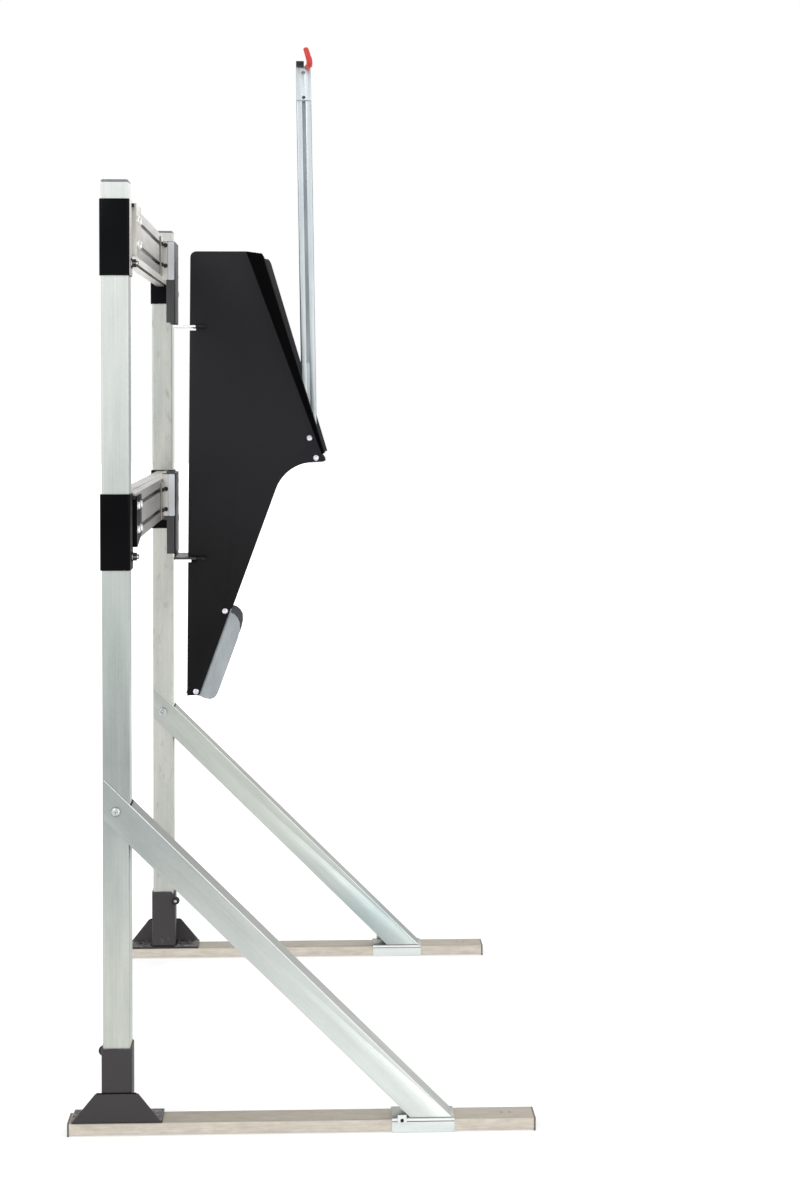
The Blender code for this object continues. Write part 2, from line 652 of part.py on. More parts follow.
def build_collar(side, level, y, inward, root):
    """Adds one collar and its clamp bolt."""
    bottom = COLLAR_BOTTOM[level]
    name = f"{side}_{level}_collar"
    inner_size = 2 * (COLLAR_FACE - COLLAR_WALL)
    sleeve = pipe(rounded_box(2 * COLLAR_FACE, 2 * COLLAR_FACE, POST_CORNER + COLLAR_WALL, (0.0, y)),
                  rounded_box(inner_size, inner_size, POST_CORNER, (0.0, y)),
                  "Z", bottom, bottom + COLLAR_HEIGHT)
    collar = add_part(name, sleeve, "black_paint", root)
    tab_in = RAIL_FACE_X + GAP
    tab_out = tab_in + TAB_THICK
    wall = (COLLAR_FACE - COLLAR_WALL + 0.0002, COLLAR_FACE - 0.0002)
    plan = [(0.015, wall[0]), (tab_out, wall[0]), (tab_out, TAB_REACH), (tab_in, TAB_REACH),
            (tab_in, wall[1]), (0.015, wall[1])]
    plan = [(x, y + inward * offset) for x, offset in plan]
    low = RAIL_Z[level] - TAB_BELOW_RAIL[level]
    high = RAIL_Z[level] + TAB_ABOVE_RAIL[level]
    join(collar, name + "_tab", prism(plan, "Z", low, high))
    past = y + inward * (TAB_REACH + 0.001)
    corner = [(past, low - 0.001), (past, low + TAB_CUT[1]),
              (y + inward * (TAB_REACH - TAB_CUT[0]), low - 0.001)]
    cut(collar, name + "_corner", prism(corner, "X", tab_in - 0.002, tab_out + 0.002))
    bolt_radius = 0.004
    bolt_z = bottom + COLLAR_BOLT_Z
    hole = prism(disc(bolt_radius + GAP, (y, bolt_z)), "X", COLLAR_FACE - COLLAR_WALL - 0.002,
                 COLLAR_FACE + 0.002)
    cut(collar, name + "_bolt_hole", hole)
    washer = COLLAR_FACE + GAP
    nut = washer + COLLAR_WASHER[1]
    middle = (y, bolt_z)
    rings = [stand_up(disc(bolt_radius, middle), "X", POST_SIZE / 2 + GAP),
             stand_up(disc(bolt_radius, middle), "X", washer),
             stand_up(disc(COLLAR_WASHER[0], middle), "X", washer),
             stand_up(disc(COLLAR_WASHER[0], middle), "X", nut),
             stand_up(hexagon(COLLAR_NUT, middle), "X", nut),
             stand_up(hexagon(COLLAR_NUT, middle), "X", washer + COLLAR_NUT_LENGTH),
             stand_up(disc(bolt_radius, middle), "X", washer + COLLAR_NUT_LENGTH),
             stand_up(disc(bolt_radius, middle), "X", washer + COLLAR_STUD - 0.0008),
             stand_up(disc(bolt_radius - 0.0008, middle), "X", washer + COLLAR_STUD)]
    add_part(name + "_bolt", loft(rings), "black_steel", root)


def rail_outline(centre):
    """Returns the section of a rail, with a slot in each short side and two in each long side."""
    mouth = SLOT_MOUTH / 2
    cavity = SLOT_CAVITY / 2
    slot = [(-mouth, 0.0), (-mouth, SLOT_LIP), (-cavity, SLOT_LIP), (-cavity, SLOT_DEPTH - 0.0035),
            (-cavity + 0.0035, SLOT_DEPTH), (cavity - 0.0035, SLOT_DEPTH), (cavity, SLOT_DEPTH - 0.0035),
            (cavity, SLOT_LIP), (mouth, SLOT_LIP), (mouth, 0.0)]
    half_x = RAIL_WIDTH / 2
    half_z = RAIL_HEIGHT / 2
    points = [(-half_x, -half_z)]
    points += [(run, -half_z + depth) for run, depth in slot]
    points.append((half_x, -half_z))
    for middle in (-SLOT_PITCH / 2, SLOT_PITCH / 2):
        points += [(half_x - depth, middle + run) for run, depth in slot]
    points.append((half_x, half_z))
    points += [(-run, half_z - depth) for run, depth in slot]
    points.append((-half_x, half_z))
    for middle in (SLOT_PITCH / 2, -SLOT_PITCH / 2):
        points += [(-half_x + depth, middle - run) for run, depth in slot]
    return [(centre[0] + x, centre[1] + z) for x, z in points]


def build_rail(level, root):
    """Adds one cross rail."""
    centre = (RAIL_X, RAIL_Z[level])
    ends = (RAIL_END, SPAN - RAIL_END)
    past = (ends[0] - 0.002, ends[1] + 0.002)
    rail = add_part(level + "_rail", prism(rail_outline(centre), "Y", *ends), "mill_aluminium", root)
    for place, middle in (("low", -SLOT_PITCH / 2), ("high", SLOT_PITCH / 2)):
        core = disc(RAIL_CORE_RADIUS, (centre[0], centre[1] + middle), steps=12)
        cut(rail, f"{level}_rail_core_{place}", prism(core, "Y", *past))
    void = rounded_box(*RAIL_VOID, 0.002, centre)
    cut(rail, level + "_rail_void", prism(void, "Y", *past))


def build_hanger(level, root):
    """Adds one hanger with its clamp plate and lock screw."""
    near = LIFT_Y - HANGER_HALF
    far = LIFT_Y + HANGER_HALF
    face = RAIL_FACE_X + GAP
    riser = face + 0.0003
    back = HANGER_REACH - HANGER_THICK
    plan = [(riser, near), (HANGER_REACH, near), (HANGER_REACH, far), (riser, far),
            (riser, far - HANGER_THICK), (back, far - HANGER_THICK),
            (back, near + HANGER_THICK), (riser, near + HANGER_THICK)]
    hanger = add_part(level + "_hanger", prism(plan, "Z", HANGER_BOTTOM[level], HANGER_TOP[level]),
                      "hanger_paint", root)
    flange_z = [RAIL_Z[level] + offset for offset in HANGER_FLANGE_Z]
    below = prism(box_outline((face - 0.001, near - 0.001), (HANGER_BACK_X, far + 0.001)), "Z",
                  HANGER_BOTTOM[level] - 0.001, RAIL_Z[level] - RAIL_HEIGHT / 2 - 0.001)
    cut(hanger, level + "_hanger_back", below)
    for place, start, end in (("near", LIFT_Y - HANGER_FLANGE, near + 0.001),
                              ("far", far - 0.001, LIFT_Y + HANGER_FLANGE)):
        flange = prism(box_outline((face, start), (face + HANGER_THICK, end)), "Z", *flange_z)
        join(hanger, f"{level}_hanger_flange_{place}", flange)
    tongue_low = TONGUE_Z[level]
    neck = box_outline((back + 0.0004, near + 0.007), (HANGER_REACH - 0.0004, far - 0.007))
    join(hanger, level + "_hanger_neck", prism(neck, "Z", tongue_low + 0.001, HANGER_BOTTOM[level] + 0.002))
    tongue = box_outline((back, LIFT_Y - TONGUE_HALF), (TONGUE_REACH, LIFT_Y + TONGUE_HALF))
    join(hanger, level + "_hanger_tongue", prism(tongue, "Z", tongue_low, tongue_low + TONGUE_THICK))
    clamp_y = (near - GAP - CLAMP_THICK, near - GAP)
    clamp_z = (RAIL_Z[level] - CLAMP_DROP[level], RAIL_Z[level] + CLAMP_RISE[level])
    clamp = rounded_box(CLAMP_X[1] - CLAMP_X[0], clamp_z[1] - clamp_z[0], 0.002,
                        (sum(CLAMP_X) / 2, sum(clamp_z) / 2))
    add_part(level + "_clamp_plate", prism(clamp, "Y", *clamp_y), "galvanised", root)
    start = TONGUE_REACH + GAP
    profile = [(start, 0.0022), (start + 0.0105, 0.0022), (start + 0.0105, 0.0041), (start + 0.0155, 0.0041),
               (start + 0.0155, 0.0022), (start + 0.0195, 0.0022), (start + 0.0205, 0.0014)]
    lock = turned(profile, "X", (LOCK_Y, tongue_low + TONGUE_THICK / 2))
    add_part(level + "_lock_screw", lock, "black_steel", root)


# Housing

def plate_outline():
    """Returns the flat part of a side plate, from the foot of its back edge."""
    lean_angle = math.atan2(1.0, PLATE_EDGE_LEAN)
    step_x = PLATE_TOE[0] + (PLATE_STEP_Z - PLATE_TOE[1]) * PLATE_EDGE_LEAN
    chin_x = step_x + PLATE_STEP + (PLATE_CHIN_Z - PLATE_STEP_Z) * PLATE_EDGE_LEAN
    tangent = PLATE_FILLET * math.tan(lean_angle / 2)
    fillet_centre = (chin_x + tangent, PLATE_CHIN_Z - PLATE_FILLET)
    points = [PLATE_BACK_BOTTOM, PLATE_TOE, (step_x, PLATE_STEP_Z), (step_x + PLATE_STEP, PLATE_STEP_Z)]
    points += arc(fillet_centre, PLATE_FILLET, 90 + math.degrees(lean_angle), 90, 10)
    points += [(PLATE_NOSE[0] - back, PLATE_CHIN_Z + rise) for back, rise in PLATE_NOSE_ROUND]
    points += [PLATE_NOSE, BEND_FOOT, BEND_TOP]
    corner_centre = (PLATE_BACK_TOP[0] + PLATE_CORNER, PLATE_TOP_Z - PLATE_CORNER)
    points += arc(corner_centre, PLATE_CORNER, 90, 180, 5)
    lean = (PLATE_BACK_TOP[0] - PLATE_BACK_BOTTOM[0]) / (PLATE_BACK_TOP[1] - PLATE_BACK_BOTTOM[1])
    for level in ("upper", "lower"):
        top = TONGUE_Z[level] + TONGUE_THICK + GAP
        bottom = TONGUE_Z[level] - NOTCH_DROP
        for z, x in ((top, None), (top, NOTCH_FRONT_X), (bottom, NOTCH_FRONT_X), (bottom, None)):
            edge_x = PLATE_BACK_BOTTOM[0] + (z - PLATE_BACK_BOTTOM[1]) * lean
            points.append((edge_x if x is None else x, z))
    return points


def flare_point(point, extra, outward, plate_y):
    """Sets a point of the flared edge in space: the further from the bend, the further out."""
    x = point[0] + extra
    run = (BEND_FOOT[0] - BEND_TOP[0], BEND_FOOT[1] - BEND_TOP[1])
    length = math.hypot(*run)
    off_bend = ((x - BEND_TOP[0]) * -run[1] + (point[1] - BEND_TOP[1]) * run[0]) / length
    return (x, plate_y + outward * FLARE_SLOPE * off_bend, point[1])


def build_side_plate(side, outward, extras, holes, root):
    """Adds one side plate of the housing."""
    plate_y = LIFT_Y + outward * PLATE_OUTER_HALF
    flat = [(x, plate_y, z) for x, z in plate_outline()]
    flare = [(BEND_FOOT[0], plate_y, BEND_FOOT[1])]
    edge = ((FLARE_FOOT, extras[2]), (FLARE_CORNER, extras[1]), (FLARE_TOP, extras[0]))
    flare += [flare_point(point, extra, outward, plate_y) for point, extra in edge]
    flare.append((BEND_TOP[0], plate_y, BEND_TOP[1]))
    plate = add_part(side + "_side_plate", thicken([flat, flare], PLATE_THICK, -outward), "black_paint", root)
    for hole in holes:
        shape_with(plate, hole, "DIFFERENCE")


def build_cheek(side, outward, extra, holes, finish, root):
    """Adds one guide cheek: a strip inside the side plate and a lip that flares outward."""
    length = math.hypot(PLATE_EDGE_LEAN, 1.0)
    along = (PLATE_EDGE_LEAN / length, 1.0 / length)
    face_y = LIFT_Y + outward * (PLATE_INNER_HALF - GAP)

    def place(run, reach):
        flared = max(reach - CHEEK_LIP_START, 0.0) * CHEEK_FLARE
        return (PLATE_TOE[0] + run * along[0] + reach * along[1], face_y + outward * flared,
                PLATE_TOE[1] + run * along[1] - reach * along[0])

    bend = [place(CHEEK_ENDS[0], CHEEK_LIP_START), place(CHEEK_ENDS[1] + extra, CHEEK_LIP_START)]
    strip = [bend[0], bend[1], place(CHEEK_STRIP_TOP + extra, CHEEK_LIP_START),
             place(CHEEK_STRIP_TOP + extra + CHEEK_STRIP_SPLAY, -CHEEK_STRIP),
             place(CHEEK_ENDS[0] - CHEEK_STRIP_SPLAY, -CHEEK_STRIP)]
    middle = sum(CHEEK_ENDS) / 2
    lip = bend + [place(run + (extra if run > middle else 0.0), reach) for run, reach in CHEEK_LIP]
    cheek = add_part(side + "_guide_cheek", thicken([strip, lip], CHEEK_THICK, -outward), finish, root)
    for hole in holes:
        shape_with(cheek, hole, "DIFFERENCE")


def build_through_bolt(name, bolt, root):
    """Adds a domed bolt through both side plates, with its nut."""
    x, z, radius = bolt
    face = PLATE_OUTER_HALF + GAP
    near = LIFT_Y - face
    far = LIFT_Y + face
    profile = [(near - DOME_HEIGHT, 0.0014), (near - DOME_HEIGHT * 0.92, 0.0034),
               (near - DOME_HEIGHT * 0.62, 0.0053), (near - DOME_HEIGHT * 0.22, DOME_RADIUS),
               (near, DOME_RADIUS), (near, radius), (far, radius), (far, DOME_RADIUS),
               (far + 0.0048, DOME_RADIUS), (far + 0.0056, DOME_RADIUS * 0.86)]
    add_part(name, turned(profile, "Y", (x, z)), "bright_steel", root)


def build_spacer(name, bolt, half, root):
    """Adds a spacer tube on a through bolt."""
    x, z, radius = bolt
    outer = disc(radius + GAP + SPACER_WALL, (x, z))
    inner = disc(radius + GAP, (x, z))
    add_part(name, pipe(outer, inner, "Y", LIFT_Y - half, LIFT_Y + half), "zinc", root)


def build_housing(root):
    """Adds the side plates, the spine, the guide cheeks and the bolts between them."""
    holes = {}
    reach = PLATE_OUTER_HALF + 2 * DOME_HEIGHT
    for name, bolt in (("axle", AXLE), ("nose", NOSE_BOLT), ("strut", STRUT_BOLT), ("bottom", BOTTOM_BOLT)):
        outline = disc(bolt[2] + GAP, bolt[:2])
        holes[name] = add_guide(name + "_bore", prism(outline, "Y", LIFT_Y - reach, LIFT_Y + reach), root)
    build_side_plate("near", -1, (0.0, 0.0, 0.0), list(holes.values()), root)
    build_side_plate("far", 1, FAR_FLARE_EXTRA, list(holes.values()), root)
    inner = PLATE_INNER_HALF - GAP
    near, far = LIFT_Y - inner, LIFT_Y + inner
    front = SPINE_X + SPINE_LIP
    plan = [(SPINE_X, near), (front, near), (front, near + SPINE_THICK),
            (SPINE_X + SPINE_THICK, near + SPINE_THICK), (SPINE_X + SPINE_THICK, far - SPINE_THICK),
            (front, far - SPINE_THICK), (front, far), (SPINE_X, far)]
    add_part("housing_spine", prism(plan, "Z", *SPINE_Z), "black_paint", root)
    cheek_holes = [holes["strut"], holes["bottom"]]
    build_cheek("near", -1, 0.0, cheek_holes, "cheek_light", root)
    build_cheek("far", 1, FAR_CHEEK_EXTRA, cheek_holes, "hanger_paint", root)
    build_through_bolt("arm_axle", AXLE, root)
    build_through_bolt("nose_bolt", NOSE_BOLT, root)
    build_through_bolt("strut_bolt", STRUT_BOLT, root)
    build_through_bolt("bottom_bolt", BOTTOM_BOLT, root)
    build_spacer("nose_spacer", NOSE_BOLT, inner, root)
    build_spacer("bottom_spacer", BOTTOM_BOLT, inner - CHEEK_THICK - GAP, root)


# Arm, drawn upright from its axle and then leaned back by its empty

def build_bush(side, outward, axis_empty):
    """Adds one flanged bush of the arm's hub."""
    inner = AXLE[2] + GAP
    sleeve = inner + BUSH_WALL
    face = PLATE_INNER_HALF - GAP
    stations = [(face, inner), (face, BUSH_FLANGE_RADIUS), (face - BUSH_FLANGE, BUSH_FLANGE_RADIUS),
                (face - BUSH_FLANGE, sleeve), (face - BUSH_FLANGE - BUSH_SLEEVE, sleeve),
                (face - BUSH_FLANGE - BUSH_SLEEVE, inner)]
    rings = [stand_up(disc(radius), "Y", LIFT_Y + outward * depth) for depth, radius in stations]
    add_part(side + "_arm_bush", loft(rings, closed=True), "bush_plastic", axis_empty)


def build_arm_root(axis_empty):
    """Adds the hub with its sector and the tongue that enters the arm channel."""
    bore = AXLE[2] + 2 * GAP + BUSH_WALL
    hub_half = PLATE_INNER_HALF - BUSH_FLANGE - 2 * GAP
    hub = pipe(disc(HUB_RADIUS), disc(bore), "Y", LIFT_Y - hub_half, LIFT_Y + hub_half)
    arm_root = add_part("arm_root", hub, "galvanised", axis_empty)
    stop_run = math.hypot(NOSE_BOLT[0] - AXLE[0], NOSE_BOLT[1] - AXLE[1])
    stop_angle = 360 + math.degrees(math.atan2(NOSE_BOLT[1] - AXLE[1], NOSE_BOLT[0] - AXLE[0]))
    stop_radius = NOSE_BOLT[2] + GAP + SPACER_WALL
    clear = math.degrees(math.asin((stop_radius + GAP) / stop_run))
    start = TANGENT_ANGLE - SECTOR_LEAD - ARM_LEAN
    end = stop_angle - clear - ARM_LEAN
    weld = (HUB_RADIUS + bore) / 2
    outline = arc((0.0, 0.0), SECTOR_RADIUS, start, end, 24) + arc((0.0, 0.0), weld, end, start, 12)
    join(arm_root, "arm_sector", prism(outline, "Y", LIFT_Y - SECTOR_HALF, LIFT_Y + SECTOR_HALF))
    half = ARM_WIDTH / 2 - ARM_WALL - GAP
    front_y = ARM_BACK_Y - ARM_DEPTH + ARM_WALL + GAP
    tongue = box_outline((-half, front_y), (half, LIFT_Y + hub_half - GAP))
    join(arm_root, "arm_root_tongue", prism(tongue, "Z", weld, ROOT_TONGUE_END))


def build_arm(root):
    """Adds the arm, its bracket and its hook."""
    axis_empty = add_empty("arm_axis", (AXLE[0], 0.0, AXLE[1]), -math.radians(ARM_LEAN), root)
    build_bush("near", -1, axis_empty)
    build_bush("far", 1, axis_empty)
    build_arm_root(axis_empty)
    half = ARM_WIDTH / 2
    front = ARM_BACK_Y - ARM_DEPTH
    mouth = ARM_MOUTH / 2
    plan = [(-half, front), (-mouth, front), (-mouth, front + ARM_WALL), (-half + ARM_WALL, front + ARM_WALL),
            (-half + ARM_WALL, ARM_BACK_Y - ARM_WALL), (half - ARM_WALL, ARM_BACK_Y - ARM_WALL),
            (half - ARM_WALL, front + ARM_WALL), (mouth, front + ARM_WALL), (mouth, front), (half, front),
            (half, ARM_BACK_Y), (-half, ARM_BACK_Y)]
    add_part("arm_channel", prism(plan, "Z", ARM_START, ARM_END), "galvanised", axis_empty)
    plate_back = front - GAP
    plate_front = plate_back - BRACKET_THICK
    plate = rounded_box(ARM_WIDTH, ARM_END - BRACKET_START, 0.002, (0.0, (ARM_END + BRACKET_START) / 2))
    bracket = add_part("hook_bracket", prism(plate, "Y", plate_front, plate_back), "galvanised", axis_empty)
    seat_top = HOOK_START[1] + HOOK_RADIUS
    seat = box_outline((-half + 0.001, seat_top - BRACKET_SEAT_THICK), (0.0, seat_top))
    join(bracket, "hook_seat", prism(seat, "Y", plate_front - BRACKET_SEAT, plate_back - 0.0005))
    for index, height in enumerate(BRACKET_HOLES):
        hole = prism(disc(BRACKET_HOLE_RADIUS, (0.0, height)), "Y", plate_front - 0.002, plate_back + 0.002)
        cut(bracket, f"bracket_hole_{index}", hole)
    start_y = plate_front - GAP - HOOK_RADIUS
    turn_y = LIFT_Y - HOOK_BACK_Y
    x, z = HOOK_START
    bend_x = x + 0.004
    path = [(x, start_y, z), (x + 0.001, (start_y + turn_y) / 2 + 0.004, z)]
    for offset_y, offset_z in arc((turn_y + HOOK_BEND, z + HOOK_BEND), HOOK_BEND, 270, 180, 8):
        path.append((bend_x, offset_y, offset_z))
    path.append((HOOK_TIP[0], turn_y - 0.001, HOOK_TIP[1]))
    add_part("rim_hook", bent_rod(path, HOOK_RADIUS), "red_coating", axis_empty)


# Strut, drawn upright from its bolt and then tilted along the band by its empty

def build_strut(root):
    """Adds the pull strut: barrel, rod, yoke and band."""
    strut_axis = add_empty("strut_axis", (STRUT_BOLT[0], 0.0, STRUT_BOLT[1]), STRUT_TILT, root)
    centre = (0.0, LIFT_Y)
    profile = [(BARREL_Z[0], BARREL_RADIUS), (BARREL_Z[1] - 0.001, BARREL_RADIUS),
               (BARREL_Z[1], BARREL_RADIUS - 0.001), (BARREL_Z[1], ROD_RADIUS + GAP),
               (BARREL_Z[1] - BARREL_NOSE, ROD_RADIUS + GAP), (BARREL_Z[1] - BARREL_NOSE, BARREL_BORE),
               (BARREL_FLOOR, BARREL_BORE)]
    barrel = add_part("strut_barrel", turned(profile, "Z", centre), "black_steel", strut_axis)
    eye_half = PLATE_INNER_HALF - GAP - CHEEK_THICK - GAP
    eye = pipe(disc(STRUT_EYE_RADIUS), disc(STRUT_BOLT[2] + GAP), "Y", LIFT_Y - eye_half, LIFT_Y + eye_half)
    join(barrel, "strut_eye", eye)
    piston = BARREL_BORE - GAP
    profile = [(PISTON_Z[0], piston), (PISTON_Z[1], piston), (PISTON_Z[1], ROD_RADIUS),
               (YOKE_BORE_END - GAP, ROD_RADIUS)]
    add_part("strut_rod", turned(profile, "Z", centre), "bright_steel", strut_axis)
    block = rounded_box(*YOKE_SIZE, 0.002, centre)
    yoke = add_part("strut_yoke", prism(block, "Z", *YOKE_Z), "zinc", strut_axis)
    bore = prism(disc(ROD_RADIUS + GAP, centre), "Z", YOKE_Z[0] - 0.002, YOKE_BORE_END)
    cut(yoke, "yoke_bore", bore)
    slot_half = BAND_THICK / 2 + GAP
    slot = box_outline((-slot_half, LIFT_Y - 0.012), (slot_half, LIFT_Y + 0.012))
    cut(yoke, "yoke_slot", prism(slot, "Z", YOKE_SLOT_START, YOKE_Z[1] + 0.002))
    band = box_outline((-BAND_THICK / 2, LIFT_Y - STRUT_HALF), (BAND_THICK / 2, LIFT_Y + STRUT_HALF))
    add_part("pull_band", prism(band, "Z", YOKE_SLOT_START + GAP, BAND_END), "zinc", strut_axis)


def main():
    """Builds the whole lift on its stand."""
    for item in list(bpy.data.objects):
        bpy.data.objects.remove(item, do_unlink=True)
    centre_x = (BEAM_LEFT + BEAM_RIGHT) / 2
    root = add_empty("stand_frame", (-centre_x, -SPAN / 2, 0.0), 0.0, None)
    for side, y, inward in (("near", 0.0, 1), ("far", SPAN, -1)):
        build_beam(side, y, root)
        post = build_post(side, y, root)
        build_foot(side, y, inward, root)
        build_brace(side, y, inward, post, root)
        for level in ("upper", "lower"):
            build_collar(side, level, y, inward, root)
    for level in ("upper", "lower"):
        build_rail(level, root)
        build_hanger(level, root)
    build_housing(root)
    build_arm(root)
    build_strut(root)


main()
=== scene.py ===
"""Dresses the bike lift and its two-post stand.

Every part gets its finish, the sheet parts get their real bends and edges, and the small hardware,
the light and the camera are added. Lengths are metres, except where a name ends in mm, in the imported
model's frame: X runs from the posts to the lift, Y from the near post to the far post and Z up from
the floor.
"""

import logging
import math
from collections.abc import Callable, Iterable, Iterator
from contextlib import contextmanager
from dataclasses import dataclass
from enum import Enum

import bmesh
import bpy
from mathutils import Matrix, Vector


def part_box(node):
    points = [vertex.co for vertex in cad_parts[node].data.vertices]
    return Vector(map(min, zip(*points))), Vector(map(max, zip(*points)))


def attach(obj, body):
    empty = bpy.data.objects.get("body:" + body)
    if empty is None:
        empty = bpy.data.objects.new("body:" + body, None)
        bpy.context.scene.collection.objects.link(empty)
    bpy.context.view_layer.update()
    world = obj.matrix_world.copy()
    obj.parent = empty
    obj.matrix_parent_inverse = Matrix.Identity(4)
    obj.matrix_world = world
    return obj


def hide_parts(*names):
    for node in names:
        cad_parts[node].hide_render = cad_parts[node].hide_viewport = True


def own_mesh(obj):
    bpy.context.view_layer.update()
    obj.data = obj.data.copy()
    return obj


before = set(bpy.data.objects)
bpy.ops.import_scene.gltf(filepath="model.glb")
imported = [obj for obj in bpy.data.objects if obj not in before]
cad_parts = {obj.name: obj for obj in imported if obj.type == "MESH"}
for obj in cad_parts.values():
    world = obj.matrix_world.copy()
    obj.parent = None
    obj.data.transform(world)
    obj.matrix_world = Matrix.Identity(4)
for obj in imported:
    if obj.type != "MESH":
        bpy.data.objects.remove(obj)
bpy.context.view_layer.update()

log = logging.getLogger("bike_lift")

MM = 0.001
# How near to a plane or line a corner, edge or face must lie to count as on it.
CLOSE = 0.1 * MM
TOUCH = 0.01 * MM
# Faces that turn by less than this are one flat face.
FLAT = math.radians(0.5)
# The share of a direction that lies along an axis, in four grades.
ALONG = 0.99
FACING = 0.9
SLANTED = 0.3
ACROSS = 0.1
SOCKETS = {"colour": "Base Color", "rough": "Roughness", "metal": "Metallic", "bump": "Normal",
           "gloss": "Specular IOR Level"}

Place = tuple[float, float, float]
Pair = tuple[float, float]
Colour = tuple[float, float, float, float]
Stops = Iterable[tuple[float, Colour]]
Value = float | Colour | bpy.types.NodeSocket
Test = Callable[[Vector, Vector], bool]


class Side(Enum):
    """The two ends of the stand, with the direction in Y that leads inward."""

    NEAR = 1
    FAR = -1

    @property
    def word(self) -> str:
        """Returns the word that node names begin with."""
        return self.name.lower()


class Level(Enum):
    """The two rails."""

    UPPER = "upper"
    LOWER = "lower"


class Body(Enum):
    """The bodies that pieces ride on."""

    STAND = "stand"
    ARM = "arm"


class Pick(Enum):
    """What a selection in edit mode picks."""

    CORNER = "VERT"
    EDGE = "EDGE"
    FACE = "FACE"


# Shader helpers

def linear(colour: str) -> Colour:
    """Turns an sRGB hex colour to linear.

    Args:
        colour: six hex digits after a hash sign

    Returns:
        red, green, blue and alpha
    """
    values = []
    for start in (1, 3, 5):
        value = int(colour[start:start + 2], 16) / 255
        values.append(value / 12.92 if value <= 0.04045 else ((value + 0.055) / 1.055) ** 2.4)
    return (*values, 1.0)


def grey(value: float) -> Colour:
    """Returns a linear grey, for ramps that drive a number."""
    return (value, value, value, 1.0)


def add_node(tree: bpy.types.NodeTree, kind: str, settings: dict[str, object] | None = None,
             inputs: dict[str | int, object] | None = None, stops: Stops = ()) -> bpy.types.Node:
    """Adds a shader node.

    Args:
        tree: the material's or world's node tree
        kind: the node's type
        settings: the node's own options
        inputs: socket values, or sockets of other nodes to link from
        stops: a colour ramp's places from 0 to 1 with their colours

    Returns:
        the new node
    """
    node = tree.nodes.new(kind)
    for name, value in (settings or {}).items():
        setattr(node, name, value)
    for index, (place, colour) in enumerate(stops):
        elements = node.color_ramp.elements
        element = elements[index] if index < 2 else elements.new(place)
        element.position = place
        element.color = colour
    for name, value in (inputs or {}).items():
        if isinstance(value, bpy.types.NodeSocket):
            tree.links.new(value, node.inputs[name])
        else:
            node.inputs[name].default_value = value
    return node


# Finishes

